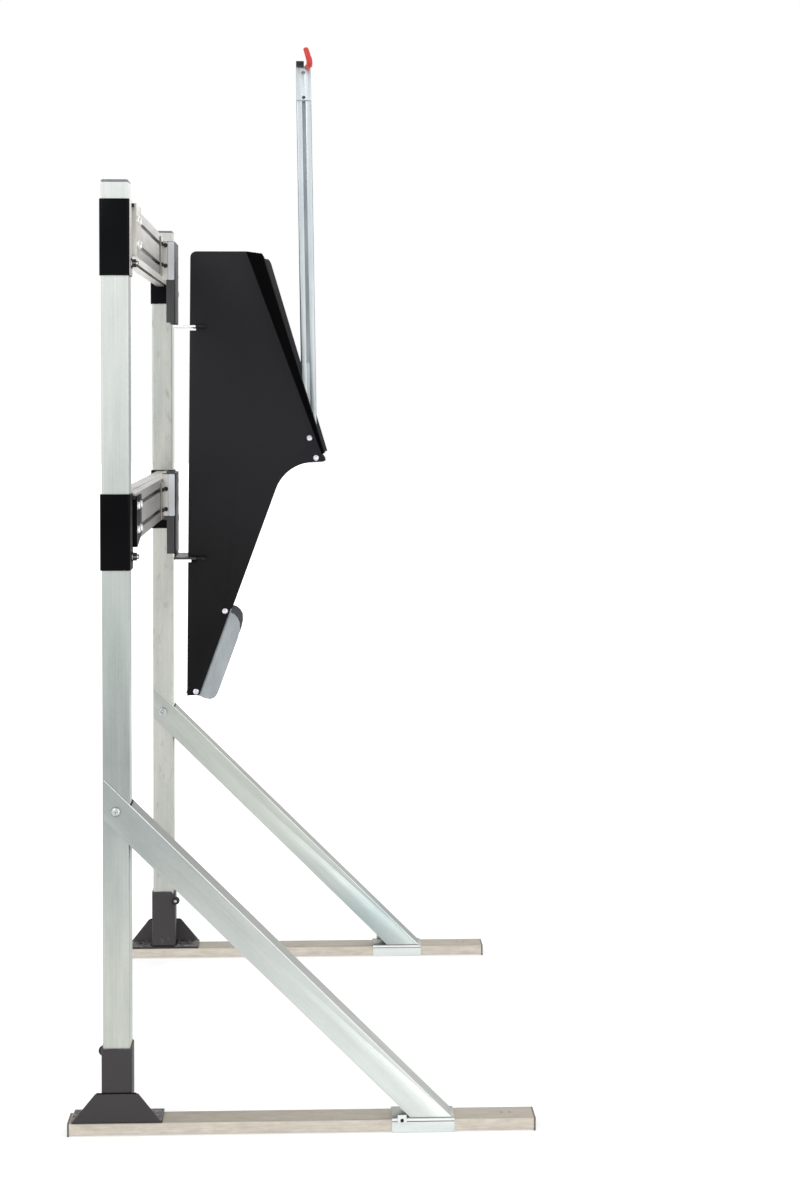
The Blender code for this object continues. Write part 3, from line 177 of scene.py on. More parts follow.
@dataclass(frozen=True)
class Finish:
    """A surface finish; a pattern that has a direction follows the run.

    The relief is the pattern's strength and depth as fine bumps that the light catches.
    """

    name: str
    run: Place = (0.0, 0.0, 1.0)
    relief: float = 0.3
    relief_mm: float = 0.03

    def material(self) -> bpy.types.Material:
        """Makes the material, or returns it where it is made already.

        Returns:
            the material
        """
        found = bpy.data.materials.get(self.name)
        if found:
            return found
        made = bpy.data.materials.new(self.name)
        made.use_nodes = True
        tree = made.node_tree
        self.shade(tree, tree.nodes["Principled BSDF"])
        return made

    def shade(self, tree: bpy.types.NodeTree, shader: bpy.types.Node) -> None:
        """Links the finish's pattern to the shader."""
        raise NotImplementedError

    def place(self, tree: bpy.types.NodeTree, scale: Place) -> bpy.types.NodeSocket:
        """Returns object coordinates, turned so that Z follows the run, and scaled.

        Args:
            tree: the material's node tree
            scale: scale along the turned X, Y and Z

        Returns:
            the vector socket
        """
        where = add_node(tree, "ShaderNodeTexCoord").outputs["Object"]
        turn = Vector(self.run).rotation_difference(Vector((0.0, 0.0, 1.0))).to_euler()
        turned = add_node(tree, "ShaderNodeMapping", inputs={"Vector": where, "Rotation": turn})
        return add_node(tree, "ShaderNodeMapping", inputs={"Vector": turned.outputs["Vector"],
                                                           "Scale": scale}).outputs["Vector"]

    def noise(self, tree: bpy.types.NodeTree, size_mm: float, stretch: float = 1.0, detail: float = 3.0,
              roughness: float = 0.5) -> bpy.types.NodeSocket:
        """Adds noise whose blotches have a real size.

        Args:
            tree: the material's node tree
            size_mm: how wide a blotch is across the run
            stretch: how many times longer it is along the run
            detail: how many finer layers it has
            roughness: how strong the finer layers are

        Returns:
            the socket of its strength, from 0 to 1
        """
        scale = 1 / (size_mm * MM)
        place = self.place(tree, (scale, scale, scale / stretch))
        return add_node(tree, "ShaderNodeTexNoise", inputs={
            "Vector": place, "Scale": 1.0, "Detail": detail, "Roughness": roughness}).outputs["Fac"]

    def blend_tones(self, tree: bpy.types.NodeTree, share: float, first: bpy.types.NodeSocket,
                    second: bpy.types.NodeSocket) -> bpy.types.NodeSocket:
        """Mixes two patterns; the share is the second one's."""
        return add_node(tree, "ShaderNodeMix", {"data_type": "FLOAT"},
                        {"Factor": share, "A": first, "B": second}).outputs["Result"]

    def mix_colours(self, tree: bpy.types.NodeTree, how: str, share: Value, first: Value,
                    second: Value) -> bpy.types.NodeSocket:
        """Mixes two colours.

        Args:
            tree: the material's node tree
            how: the mix node's blend type
            share: how much of the second colour, a number or a socket
            first: the colour below, or its socket
            second: the colour above, or its socket

        Returns:
            the mixed colour's socket
        """
        return add_node(tree, "ShaderNodeMix", {"data_type": "RGBA", "blend_type": how},
                        {0: share, 6: first, 7: second}).outputs[2]

    def by_height(self, tree: bpy.types.NodeTree, low: float, high: float,
                  stops: Stops) -> bpy.types.NodeSocket:
        """Returns a colour that depends on the height.

        Args:
            tree: the material's node tree
            low: the height of stop 0
            high: the height of stop 1
            stops: the colours between

        Returns:
            the colour's socket
        """
        where = add_node(tree, "ShaderNodeTexCoord").outputs["Object"]
        height = add_node(tree, "ShaderNodeSeparateXYZ", inputs={0: where}).outputs["Z"]
        share = add_node(tree, "ShaderNodeMapRange", inputs={
            "Value": height, "From Min": low, "From Max": high}).outputs["Result"]
        return add_node(tree, "ShaderNodeValToRGB", inputs={"Fac": share}, stops=stops).outputs["Color"]

    def upward(self, tree: bpy.types.NodeTree) -> bpy.types.NodeSocket:
        """Returns how far a face looks up.

        Args:
            tree: the material's node tree

        Returns:
            the socket of a number that is 1 on level tops and 0 on upright and lower faces
        """
        facing = add_node(tree, "ShaderNodeNewGeometry").outputs["True Normal"]
        height = add_node(tree, "ShaderNodeSeparateXYZ", inputs={0: facing}).outputs["Z"]
        return add_node(tree, "ShaderNodeMath", {"operation": "MULTIPLY", "use_clamp": True},
                        {0: height, 1: 1.0}).outputs["Value"]

    def link(self, tree: bpy.types.NodeTree, shader: bpy.types.Node, colour: bpy.types.NodeSocket,
             rough: bpy.types.NodeSocket, height: bpy.types.NodeSocket) -> None:
        """Links colour, roughness and fine relief to the shader.

        Args:
            tree: the material's node tree
            shader: the principled shader
            colour: the colour's socket
            rough: the roughness socket
            height: the height that the relief follows
        """
        bump = add_node(tree, "ShaderNodeBump", inputs={
            "Strength": self.relief, "Distance": self.relief_mm * MM, "Height": height})
        tree.links.new(colour, shader.inputs[SOCKETS["colour"]])
        tree.links.new(rough, shader.inputs[SOCKETS["rough"]])
        tree.links.new(bump.outputs["Normal"], shader.inputs[SOCKETS["bump"]])


@dataclass(frozen=True)
class GalvanisedSteel(Finish):
    """Hot dip galvanised steel, as it comes from the bath.

    To the eye it is pale grey with soft clouds, drips along the part and a hint of small crystals.
    """

    light: str = "#dee1de"
    dark: str = "#c6cbc9"
    # The tint of upward faces; where it is darker than white it is painted shade.
    tops: str = "#ffffff"
    stain: str = "#8f867c"
    crystal_mm: float = 4.0
    # The crystals' pattern is this much coarser along the run, as a share of its scale.
    crystal_run: float = 0.6
    crystals: float = 0.07
    cloud_mm: float = 28.0
    drip_mm: float = 2.6
    drips: float = 0.35
    stain_mm: float = 16.0
    stains: float = 0.0
    tones: tuple[tuple[float, str], ...] = ()
    top_z: float = 1.6
    rough: float = 0.42
    metal: float = 0.85
    relief: float = 0.12

    def shade(self, tree: bpy.types.NodeTree, shader: bpy.types.Node) -> None:
        """Links crystals, clouds, drips, the slow change of tone along the height and the tint of
        upward faces, which is painted shade.

        Args:
            tree: the material's node tree
            shader: the principled shader
        """
        scale = 1 / (self.crystal_mm * MM)
        cells = add_node(tree, "ShaderNodeTexVoronoi", {"feature": "F1"}, {
            "Vector": self.place(tree, (scale, scale, scale * self.crystal_run)), "Scale": 1.0,
            "Randomness": 1.0})
        crystal = add_node(tree, "ShaderNodeSeparateColor",
                           inputs={"Color": cells.outputs["Color"]}).outputs["Red"]
        cloud = self.noise(tree, self.cloud_mm, stretch=6.0, detail=4.0)
        drips = self.noise(tree, self.drip_mm, stretch=70.0, detail=2.0)
        tone = self.blend_tones(tree, self.crystals, cloud, crystal)
        tone = self.blend_tones(tree, self.drips, tone, drips)
        colour = add_node(tree, "ShaderNodeValToRGB", inputs={"Fac": tone}, stops=(
            (0.30, linear(self.dark)), (0.68, linear(self.light)))).outputs["Color"]
        # Tints along the height; the near post's and the near brace's darker ones are painted shade.
        if self.tones:
            stops = [(height / self.top_z, linear(tint)) for height, tint in self.tones]
            colour = self.mix_colours(tree, "MULTIPLY", 1.0, colour,
                                      self.by_height(tree, 0.0, self.top_z, stops))
        # Upward faces take the tops tint, which is painted shade where it is not white.
        colour = self.mix_colours(tree, "MULTIPLY", self.upward(tree), colour, linear(self.tops))
        if self.stains:
            spots = self.noise(tree, self.stain_mm, stretch=2.5, detail=6.0, roughness=0.7)
            cover = add_node(tree, "ShaderNodeValToRGB", inputs={"Fac": spots}, stops=(
                (0.56, grey(0.0)), (0.72, grey(self.stains)))).outputs["Color"]
            colour = self.mix_colours(tree, "MIX", cover, colour, linear(self.stain))
        rough = add_node(tree, "ShaderNodeValToRGB", inputs={"Fac": tone}, stops=(
            (0.2, grey(self.rough + 0.08)), (0.8, grey(self.rough - 0.06)))).outputs["Color"]
        self.link(tree, shader, colour, rough, tone)
        shader.inputs[SOCKETS["metal"]].default_value = self.metal


@dataclass(frozen=True)
class WeatheredZinc(Finish):
    """Galvanised tube that has lain on a floor for years.

    To the eye it is a warm beige with streaks along the tube, and darker and browner in patches on its
    top.
    """

    light: str = "#e3dcd0"
    dark: str = "#c6bdb0"
    dirt: str = "#857d70"
    streak_mm: float = 2.0
    stain_mm: float = 9.0
    metal: float = 0.55
    relief_mm: float = 0.05

    def shade(self, tree: bpy.types.NodeTree, shader: bpy.types.Node) -> None:
        """Links streaks, stains and a darker, browner tint in patches on upward faces.

        Args:
            tree: the material's node tree
            shader: the principled shader
        """
        streaks = self.noise(tree, self.streak_mm, stretch=22.0, detail=5.0, roughness=0.65)
        stains = self.noise(tree, self.stain_mm, stretch=3.0, detail=5.0, roughness=0.6)
        tone = self.blend_tones(tree, 0.5, streaks, stains)
        colour = add_node(tree, "ShaderNodeValToRGB", inputs={"Fac": tone}, stops=(
            (0.32, linear(self.dark)), (0.64, linear(self.light)))).outputs["Color"]
        top_patches = add_node(tree, "ShaderNodeMath", {"operation": "MULTIPLY_ADD", "use_clamp": True},
                           {0: stains, 1: 0.7, 2: 0.42}).outputs["Value"]
        cover = add_node(tree, "ShaderNodeMath", {"operation": "MULTIPLY", "use_clamp": True},
                         {0: self.upward(tree), 1: top_patches}).outputs["Value"]
        colour = self.mix_colours(tree, "MIX", cover, colour, linear(self.dirt))
        rough = add_node(tree, "ShaderNodeValToRGB", inputs={"Fac": tone},
                         stops=((0.3, grey(0.62)), (0.7, grey(0.46)))).outputs["Color"]
        self.link(tree, shader, colour, rough, tone)
        shader.inputs[SOCKETS["metal"]].default_value = self.metal


@dataclass(frozen=True)
class DrawnAluminium(Finish):
    """Extruded aluminium, as it comes from the press.

    To the eye it is a warm satin grey, with die lines along the profile.
    """

    light: str = "#cfccc7"
    dark: str = "#b1aea9"
    # Real die lines are about 0.2 mm apart; they are drawn coarser so that they show.
    line_mm: float = 1.2
    cloud_mm: float = 25.0
    metal: float = 0.9

    def shade(self, tree: bpy.types.NodeTree, shader: bpy.types.Node) -> None:
        """Links die lines and a faint cloud of handling marks.

        Args:
            tree: the material's node tree
            shader: the principled shader
        """
        lines = self.noise(tree, self.line_mm, stretch=400.0, detail=2.0)
        cloud = self.noise(tree, self.cloud_mm, stretch=6.0, detail=4.0)
        tone = self.blend_tones(tree, 0.4, cloud, lines)
        colour = add_node(tree, "ShaderNodeValToRGB", inputs={"Fac": tone}, stops=(
            (0.3, linear(self.dark)), (0.7, linear(self.light)))).outputs["Color"]
        rough = add_node(tree, "ShaderNodeValToRGB", inputs={"Fac": cloud},
                         stops=((0.3, grey(0.46)), (0.7, grey(0.34)))).outputs["Color"]
        self.link(tree, shader, colour, rough, lines)
        shader.inputs[SOCKETS["metal"]].default_value = self.metal


@dataclass(frozen=True)
class PowderCoat(Finish):
    """Powder paint baked on steel sheet.

    To the eye it is an even skin with fine orange peel and a soft, low sheen, scuffed where it is
    touched and worn on its tops. Between the two heights it turns from the low colour to the colour.
    """

    colour: str = "#161618"
    low_colour: str = "#161618"
    rubbed: str = "#4a4a4c"
    # Real orange peel is about 1 mm across; it is drawn coarser so that it shows.
    peel_mm: float = 2.0
    cloud_mm: float = 30.0
    scuff_mm: float = 3.0
    scuffs: float = 0.0
    worn_tops: float = 0.0
    rough: float = 0.42
    gloss: float = 0.2
    heights: Pair = (0.6, 1.5)

    def shade(self, tree: bpy.types.NodeTree, shader: bpy.types.Node) -> None:
        """Links orange peel, scuffs and handling marks.

        Args:
            tree: the material's node tree
            shader: the principled shader
        """
        peel = self.noise(tree, self.peel_mm, detail=1.0)
        cloud = self.noise(tree, self.cloud_mm, detail=6.0, roughness=0.65)
        scratches = self.noise(tree, self.scuff_mm, stretch=1.6, roughness=0.6)
        marks = add_node(tree, "ShaderNodeValToRGB", inputs={"Fac": scratches},
                         stops=((0.50, grey(0.0)), (0.66, grey(1.0)))).outputs["Color"]
        patch = add_node(tree, "ShaderNodeValToRGB", inputs={"Fac": cloud},
                         stops=((0.58, grey(0.0)), (0.72, grey(self.scuffs)))).outputs["Color"]
        worn = add_node(tree, "ShaderNodeMath", {"operation": "MULTIPLY_ADD", "use_clamp": True},
                        {0: self.upward(tree), 1: self.worn_tops, 2: patch}).outputs["Value"]
        amount = add_node(tree, "ShaderNodeMath", {"operation": "MULTIPLY"}, {0: marks, 1: worn})
        skin = self.by_height(tree, *self.heights, ((0.0, linear(self.low_colour)),
                                                    (1.0, linear(self.colour))))
        colour = self.mix_colours(tree, "MIX", amount.outputs["Value"], skin, linear(self.rubbed))
        rough = add_node(tree, "ShaderNodeValToRGB", inputs={"Fac": cloud}, stops=(
            (0.3, grey(self.rough - 0.05)), (0.7, grey(self.rough + 0.08)))).outputs["Color"]
        self.link(tree, shader, colour, rough, peel)
        shader.inputs[SOCKETS["gloss"]].default_value = self.gloss


@dataclass(frozen=True)
class PlatedSteel(Finish):
    """Turned or pressed steel with a thin bright or black plating.

    To the eye it shines, with faint stains and fine tool marks round its form.
    """

    colour: str = "#d4d3da"
    dull: str = "#9a9aa0"
    stain_mm: float = 4.0
    # Real tool marks are about 0.1 mm apart; they are drawn coarser so that they show.
    mark_mm: float = 0.5
    rough: float = 0.25
    metal: float = 1.0
    relief: float = 0.2
    relief_mm: float = 0.02

    def shade(self, tree: bpy.types.NodeTree, shader: bpy.types.Node) -> None:
        """Links a faint stain and fine tool marks.

        Args:
            tree: the material's node tree
            shader: the principled shader
        """
        stain = self.noise(tree, self.stain_mm, detail=4.0)
        marks = self.noise(tree, self.mark_mm, stretch=4.0, detail=1.0)
        colour = add_node(tree, "ShaderNodeValToRGB", inputs={"Fac": stain}, stops=(
            (0.35, linear(self.dull)), (0.60, linear(self.colour)))).outputs["Color"]
        rough = add_node(tree, "ShaderNodeValToRGB", inputs={"Fac": stain}, stops=(
            (0.3, grey(self.rough + 0.12)), (0.7, grey(self.rough)))).outputs["Color"]
        self.link(tree, shader, colour, rough, marks)
        shader.inputs[SOCKETS["metal"]].default_value = self.metal


@dataclass(frozen=True)
class MouldedPlastic(Finish):
    """Injection moulded or dipped plastic.

    To the eye it is matt, with a fine grain, a faint bloom and a slightly uneven sheen.
    """

    colour: str = "#6b6660"
    pale: str = "#7d7872"
    grain_mm: float = 1.0
    bloom_mm: float = 12.0
    rough: float = 0.55
    relief_mm: float = 0.05

    def shade(self, tree: bpy.types.NodeTree, shader: bpy.types.Node) -> None:
        """Links grain and a faint bloom.

        Args:
            tree: the material's node tree
            shader: the principled shader
        """
        grain = self.noise(tree, self.grain_mm, detail=2.0)
        bloom = self.noise(tree, self.bloom_mm, detail=4.0)
        colour = add_node(tree, "ShaderNodeValToRGB", inputs={"Fac": bloom}, stops=(
            (0.3, linear(self.colour)), (0.8, linear(self.pale)))).outputs["Color"]
        rough = add_node(tree, "ShaderNodeValToRGB", inputs={"Fac": bloom}, stops=(
            (0.3, grey(self.rough)), (0.7, grey(self.rough + 0.12)))).outputs["Color"]
        self.link(tree, shader, colour, rough, grain)


# The braces lean, and their pattern follows them.
BRACE_RUN = (0.7113, 0.0, -0.7029)
# Tones along the height, as (height, tint).
# The near post's darker band between about 0.46 m and 0.9 m is painted shade: a darker reflection
# painted into the zinc.
NEAR_POST_SHADE_TONES = ((0.0, "#e6e7e0"), (0.30, "#dcddd8"), (0.46, "#c6c9c8"), (0.62, "#adb1b1"),
                   (0.90, "#cfd3d1"), (1.25, "#eceeec"), (1.6, "#ffffff"))
FAR_POST_TONES = ((0.0, "#e0dfda"), (0.9, "#e6e4df"), (1.6, "#f2f1ee"))
# The near brace darkens towards its top as painted shade.
BRACE_TONES = ((0.0, "#f8f8f8"), (0.12, "#f4f6f5"), (0.36, "#d3d4d2"), (0.48, "#bbbdbd"),
               (0.60, "#b0b4b4"))
FAR_BRACE_TONES = ((0.0, "#d8dcdc"), (0.10, "#cbd6d8"), (0.17, "#e4e8e7"), (0.26, "#e8e9e6"),
                   (0.55, "#d5d6d2"))

NEAR_POST_ZINC = GalvanisedSteel("galvanised_near_post", tones=NEAR_POST_SHADE_TONES)
FAR_POST_ZINC = GalvanisedSteel("galvanised_far_post", tones=FAR_POST_TONES, stains=0.55)
# The braces' darker tops are painted shade.
BRACE_ZINC = GalvanisedSteel("galvanised_brace", run=BRACE_RUN, light="#e0e4e1", dark="#cbd0cd",
                             tones=BRACE_TONES, top_z=0.6, tops="#bcbab6")
FAR_BRACE_ZINC = GalvanisedSteel("galvanised_far_brace", run=BRACE_RUN, light="#e0e4e1",
                                 dark="#cbd0cd", tones=FAR_BRACE_TONES, top_z=0.6, tops="#aaa7a2")
# A painted highlight on the braces' bends and the shoes' lips.
BEND_PAINTED_HIGHLIGHT = GalvanisedSteel("bright_bend", run=BRACE_RUN, light="#fbfcfb", dark="#eff1f0",
                              crystals=0.03, metal=0.5, rough=0.5)
ARM_ZINC = GalvanisedSteel("galvanised_arm", light="#d3dbde", dark="#b3bcc0", crystals=0.05)
# Painted shade on the sides of the arm's channel and bracket.
ARM_SIDE_SHADE = GalvanisedSteel("shaded_arm_edge", light="#98a2a6", dark="#7d878b", crystals=0.03)
CLAMP_ZINC = GalvanisedSteel("galvanised_clamp", light="#d4d6d9", dark="#b9bcc2", crystals=0.05)
TAB_ZINC = GalvanisedSteel("galvanised_tab", light="#c6c3be", dark="#aca9a4", crystals=0.05)
TONGUE_ZINC = GalvanisedSteel("galvanised_tongue", light="#f2f4f3", dark="#e0e3e2", crystals=0.05)
# The shoe's darker top is painted shade.
SHOE_ZINC = GalvanisedSteel("bright_zinc_shoe", run=(1.0, 0.0, 0.0), light="#eaeeec", dark="#d6dcda",
                            tops="#a3a29e")
EDGE_ZINC = GalvanisedSteel("sheared_zinc_edge", light="#8f8c88", dark="#7b7874", crystals=0.03)
CHEEK_SILVER = GalvanisedSteel("sheet_cheek", light="#a9afb3", dark="#989ea2", crystals=0.03, metal=0.6,
                               rough=0.5)
BEAM_ZINC = WeatheredZinc("weathered_beam", run=(1.0, 0.0, 0.0))
RAIL_ALUMINIUM = DrawnAluminium("extruded_rail", run=(0.0, 1.0, 0.0))
HOUSING_BLACK = PowderCoat("black_housing", colour="#27272a", low_colour="#121212", gloss=0.1,
                           heights=(0.75, 1.15))
# Painted shade on the side plates' flared edges.
FLARE_PAINTED_SHADE = PowderCoat("black_housing_edge", colour="#040405", low_colour="#040405", rough=0.55,
                         gloss=0.03)
COLLAR_BLACK = PowderCoat("black_collar", colour="#0c0d10", low_colour="#060608", rubbed="#2c2c2e",
                          rough=0.36, gloss=0.05, heights=(1.0, 1.45))
# The foot turns near-black below about 25 mm: a painted shadow along the lower edges of the base plate
# and gusset.
FOOT_GREY = PowderCoat("grey_foot", colour="#403d3f", low_colour="#050505", rubbed="#8d8882",
                       scuffs=0.3, scuff_mm=8.0, worn_tops=0.9, rough=0.5, gloss=0.3,
                       heights=(0.0243, 0.0258))
# The weld beads are near-black as painted shade in the crevices along the welds, with rubbed marks.
WELD_PAINTED_SHADE = PowderCoat("dirt_in_weld", colour="#0c0b0b", low_colour="#0c0b0b", rubbed="#4a4747",
                       scuffs=0.3, gloss=0.1)
HANGER_GREY = PowderCoat("grey_hanger", colour="#464547", low_colour="#464547", rubbed="#77757a",
                         scuffs=0.15, gloss=0.3)
# Painted shade on the outer face of the hangers' webs, near-black low down.
WEB_PAINTED_SHADE = PowderCoat("dark_hanger_web", colour="#3d3d40", low_colour="#08080a", gloss=0.06,
                      heights=(1.1, 1.36))
# The far guide cheek's dark grey is painted shade.
CHEEK_PAINTED_SHADE = PowderCoat("dark_cheek", colour="#4a4b4f", low_colour="#4a4b4f", rubbed="#77787c",
                        gloss=0.3)
HOOK_RED = MouldedPlastic("red_dipped_hook", colour="#d5322a", pale="#e2463c", rough=0.38)
# Black rubber, whose black also stands for painted shade under the bracket's top.
SEAT_RUBBER_AND_SHADE = MouldedPlastic("black_rubber", colour="#131314", pale="#1d1d1f", rough=0.65)
CAP_GREY = MouldedPlastic("grey_end_cap")
POST_CAP_GREY = MouldedPlastic("grey_post_cap", colour="#85868a", pale="#96979a")
BUSH_NYLON = MouldedPlastic("nylon_bush", colour="#d8d6cc", pale="#e4e2da", rough=0.45)
SCREW_BLACK = PlatedSteel("black_screw", colour="#2c2c2e", dull="#19191a", rough=0.32, metal=0.7)
BOLT_ZINC = PlatedSteel("zinc_bolt", colour="#cfd3d2", dull="#a7abaa", rough=0.32)
TAB_BOLT_ZINC = PlatedSteel("bright_tab_bolt", colour="#f0f2f3", dull="#d6d9da", rough=0.3)
# Painted shade in bolt sockets, on the washer rings beside heads and in the shoes' grooves.
SOCKET_DARK = PlatedSteel("shaded_socket", colour="#4c4c50", dull="#2f2f32", rough=0.45)
# Paler painted shade on the floor of the brace bolts' sockets.
SOCKET_PALE_SHADE = PlatedSteel("bright_socket", colour="#b9bdbd", dull="#8d9191", rough=0.35)
DOME_BRIGHT = PlatedSteel("bright_dome", colour="#dedbe6", dull="#bdbac6", rough=0.2)
ROD_BRIGHT = PlatedSteel("ground_rod", colour="#dcdcde", dull="#c6c6c9", rough=0.12)

NODE_FINISHES = {
    "base_beam": BEAM_ZINC, "beam_cap_back": CAP_GREY, "beam_cap_front": CAP_GREY,
    "near_post": NEAR_POST_ZINC, "far_post": FAR_POST_ZINC,
    "post_cap": POST_CAP_GREY, "foot": FOOT_GREY, "foot_screw": SCREW_BLACK,
    "near_brace": BRACE_ZINC, "far_brace": FAR_BRACE_ZINC,
    "brace_bolt": BOLT_ZINC, "brace_shoe": SHOE_ZINC, "shoe_screw": SCREW_BLACK,
    "upper_collar": COLLAR_BLACK, "lower_collar": COLLAR_BLACK, "upper_collar_bolt": SCREW_BLACK,
    "lower_collar_bolt": SCREW_BLACK, "upper_rail": RAIL_ALUMINIUM, "lower_rail": RAIL_ALUMINIUM,
    "upper_hanger": HANGER_GREY, "lower_hanger": HANGER_GREY, "upper_clamp_plate": CLAMP_ZINC,
    "lower_clamp_plate": CLAMP_ZINC, "upper_lock_screw": SCREW_BLACK, "lower_lock_screw": SCREW_BLACK,
    "side_plate": HOUSING_BLACK, "near_guide_cheek": CHEEK_SILVER, "far_guide_cheek": CHEEK_PAINTED_SHADE,
    "housing_spine": HOUSING_BLACK, "arm_axle": DOME_BRIGHT, "nose_bolt": DOME_BRIGHT,
    "strut_bolt": DOME_BRIGHT, "bottom_bolt": DOME_BRIGHT, "nose_spacer": BOLT_ZINC,
    "bottom_spacer": BOLT_ZINC, "arm_bush": BUSH_NYLON, "arm_root": ARM_ZINC, "arm_channel": ARM_ZINC,
    "hook_bracket": ARM_ZINC, "rim_hook": HOOK_RED, "strut_barrel": SCREW_BLACK,
    "strut_rod": ROD_BRIGHT, "strut_yoke": BOLT_ZINC, "pull_band": BOLT_ZINC,
}


def finish_of(node: str) -> Finish:
    """Finds the finish of a node, by its own name or by its name without the side.

    Args:
        node: the CAD node

    Returns:
        its finish
    """
    if node in NODE_FINISHES:
        return NODE_FINISHES[node]
    return NODE_FINISHES[node.split("_", 1)[1]]


def dress_nodes() -> None:
    """Gives every CAD node its finish."""
    for name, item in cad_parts.items():
        finish = finish_of(name)
        if not item.material_slots:
            item.data.materials.append(None)
        for slot in item.material_slots:
            slot.material = finish.material()
        log.info("%s: %s", name, finish.name)


# Modelling helpers

def deselect() -> None:
    """Deselects every object."""
    bpy.ops.object.select_all(action="DESELECT")


def make_active(item: bpy.types.Object) -> None:
    """Selects one object alone and makes it active.

    Args:
        item: the object
    """
    deselect()
    item.select_set(True)
    bpy.context.view_layer.objects.active = item


@contextmanager
def edit_mode(item: bpy.types.Object) -> Iterator[None]:
    """Opens an object in edit mode and closes it again.

    Args:
        item: the object

    Yields:
        nothing; the object is in edit mode meanwhile
    """
    make_active(item)
    bpy.ops.object.mode_set(mode="EDIT")
    yield
    bpy.ops.object.mode_set(mode="OBJECT")


def select(pick: Pick, test: Test) -> int:
    """Selects parts of the mesh being edited by their place and direction.

    Args:
        pick: corners, edges or faces
        test: gets a part's middle and its direction, a normal or an edge's run

    Returns:
        how many parts were selected
    """
    bpy.ops.mesh.select_mode(type=pick.value)
    bpy.ops.mesh.select_all(action="DESELECT")
    shape = bmesh.from_edit_mesh(bpy.context.edit_object.data)
    if pick is Pick.FACE:
        parts = [(face, face.calc_center_median(), face.normal) for face in shape.faces]
    elif pick is Pick.EDGE:
        parts = [(edge, (edge.verts[0].co + edge.verts[1].co) / 2,
                  (edge.verts[1].co - edge.verts[0].co).normalized()) for edge in shape.edges]
    else:
        parts = [(corner, corner.co, corner.normal) for corner in shape.verts]
    found = 0
    for part, middle, way in parts:
        if test(middle, way):
            part.select_set(True)
            found += 1
    shape.select_flush_mode()
    bmesh.update_edit_mesh(bpy.context.edit_object.data)
    return found


def extrude(way: Place) -> None:
    """Extrudes the selected faces as one."""
    bpy.ops.mesh.extrude_region_move(TRANSFORM_OT_translate={"value": way})


def add_block(name: str, low: Place, high: Place) -> bpy.types.Object:
    """Adds a block between two corners.

    Args:
        name: the piece's name
        low: its lowest corner
        high: its highest corner

    Returns:
        the block, with its place in its mesh
    """
    deselect()
    bpy.ops.mesh.primitive_cube_add(size=1.0, location=(Vector(low) + Vector(high)) / 2)
    item = bpy.context.object
    item.name = name
    item.scale = Vector(high) - Vector(low)
    bpy.ops.object.transform_apply(location=True, rotation=True, scale=True)
    return item


@dataclass
class Assembly:
    """What the sub-assemblies share: starting, easing, copying and finishing a piece."""

    def copy_node(self, node: str, word: str = "formed") -> bpy.types.Object:
        """Copies a CAD node's mesh into a piece and merges its loose triangles into whole faces.

        Args:
            node: the CAD node
            word: what the piece's name adds to the node's

        Returns:
            the piece
        """
        item = bpy.data.objects.new(f"{node}_{word}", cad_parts[node].data.copy())
        bpy.context.scene.collection.objects.link(item)
        item.data.materials.clear()
        with edit_mode(item):
            bpy.ops.mesh.select_all(action="SELECT")
            bpy.ops.mesh.remove_doubles(threshold=TOUCH)
            bpy.ops.mesh.dissolve_limited(angle_limit=FLAT)
        return item

    def copy_piece(self, source: bpy.types.Object, name: str, move: Matrix) -> bpy.types.Object:
        """Copies a piece with a mesh of its own and moves it.

        Args:
            source: the piece that is modelled
            name: the copy's name
            move: where the copy goes

        Returns:
            the copy
        """
        item = bpy.data.objects.new(name, source.data.copy())
        bpy.context.scene.collection.objects.link(item)
        item.data.transform(move)
        return item

    def round_edges(self, item: bpy.types.Object, test: Test, radius: float, segments: int = 4) -> None:
        """Rounds chosen edges to a radius.

        Args:
            item: the piece
            test: picks the edges by middle and run
            radius: how far the rounding reaches
            segments: how many faces make it
        """
        with edit_mode(item):
            if select(Pick.EDGE, test):
                bpy.ops.mesh.bevel(offset=radius, segments=segments, affect="EDGES")

    def ease(self, item: bpy.types.Object, width_mm: float, segments: int = 2,
             angle: float = 40.0) -> None:
        """Takes the sharpness off a piece's edges.

        Args:
            item: the piece
            width_mm: the width of the eased edge
            segments: how many faces make it
            angle: the least turn between faces, in degrees, that counts as an edge
        """
        make_active(item)
        bpy.ops.object.modifier_add(type="BEVEL")
        easing = item.modifiers[-1]
        easing.width = width_mm * MM
        easing.segments = segments
        easing.limit_method = "ANGLE"
        easing.angle_limit = math.radians(angle)
        easing.use_clamp_overlap = False
        bpy.ops.object.modifier_apply(modifier=easing.name)

    def dress(self, item: bpy.types.Object, *finishes: Finish) -> None:
        """Gives a piece its material slots.

        Args:
            item: the piece
            finishes: the slots' finishes in order
        """
        item.data.materials.clear()
        for finish in finishes:
            item.data.materials.append(finish.material())

    def paint(self, item: bpy.types.Object, slot: int, test: Test) -> None:
        """Gives the chosen faces another material slot.

        Args:
            item: the piece
            slot: the slot's index
            test: picks the faces by middle and normal
        """
        with edit_mode(item):
            if select(Pick.FACE, test):
                item.active_material_index = slot
                bpy.ops.object.material_slot_assign()

    def finish_piece(self, item: bpy.types.Object, body: Body, nodes: Iterable[str] = (),
                     angle: float = 32.0) -> bpy.types.Object:
        """Sets a piece's place into its mesh, shades it and hangs it on its body.

        Args:
            item: the piece
            body: what it rides on
            nodes: the CAD nodes that it stands for
            angle: the least turn, in degrees, that still shows as an edge

        Returns:
            the piece
        """
        make_active(item)
        bpy.ops.object.transform_apply(location=True, rotation=True, scale=True)
        with edit_mode(item):
            bpy.ops.mesh.select_all(action="SELECT")
            bpy.ops.mesh.normals_make_consistent(inside=False)
        bpy.ops.object.shade_smooth_by_angle(angle=math.radians(angle))
        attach(item, body.value)
        if nodes:
            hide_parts(*nodes)
        log.info("%s: %d faces on %s", item.name, len(item.data.polygons), body.value)
        return item


# Sub-assemblies

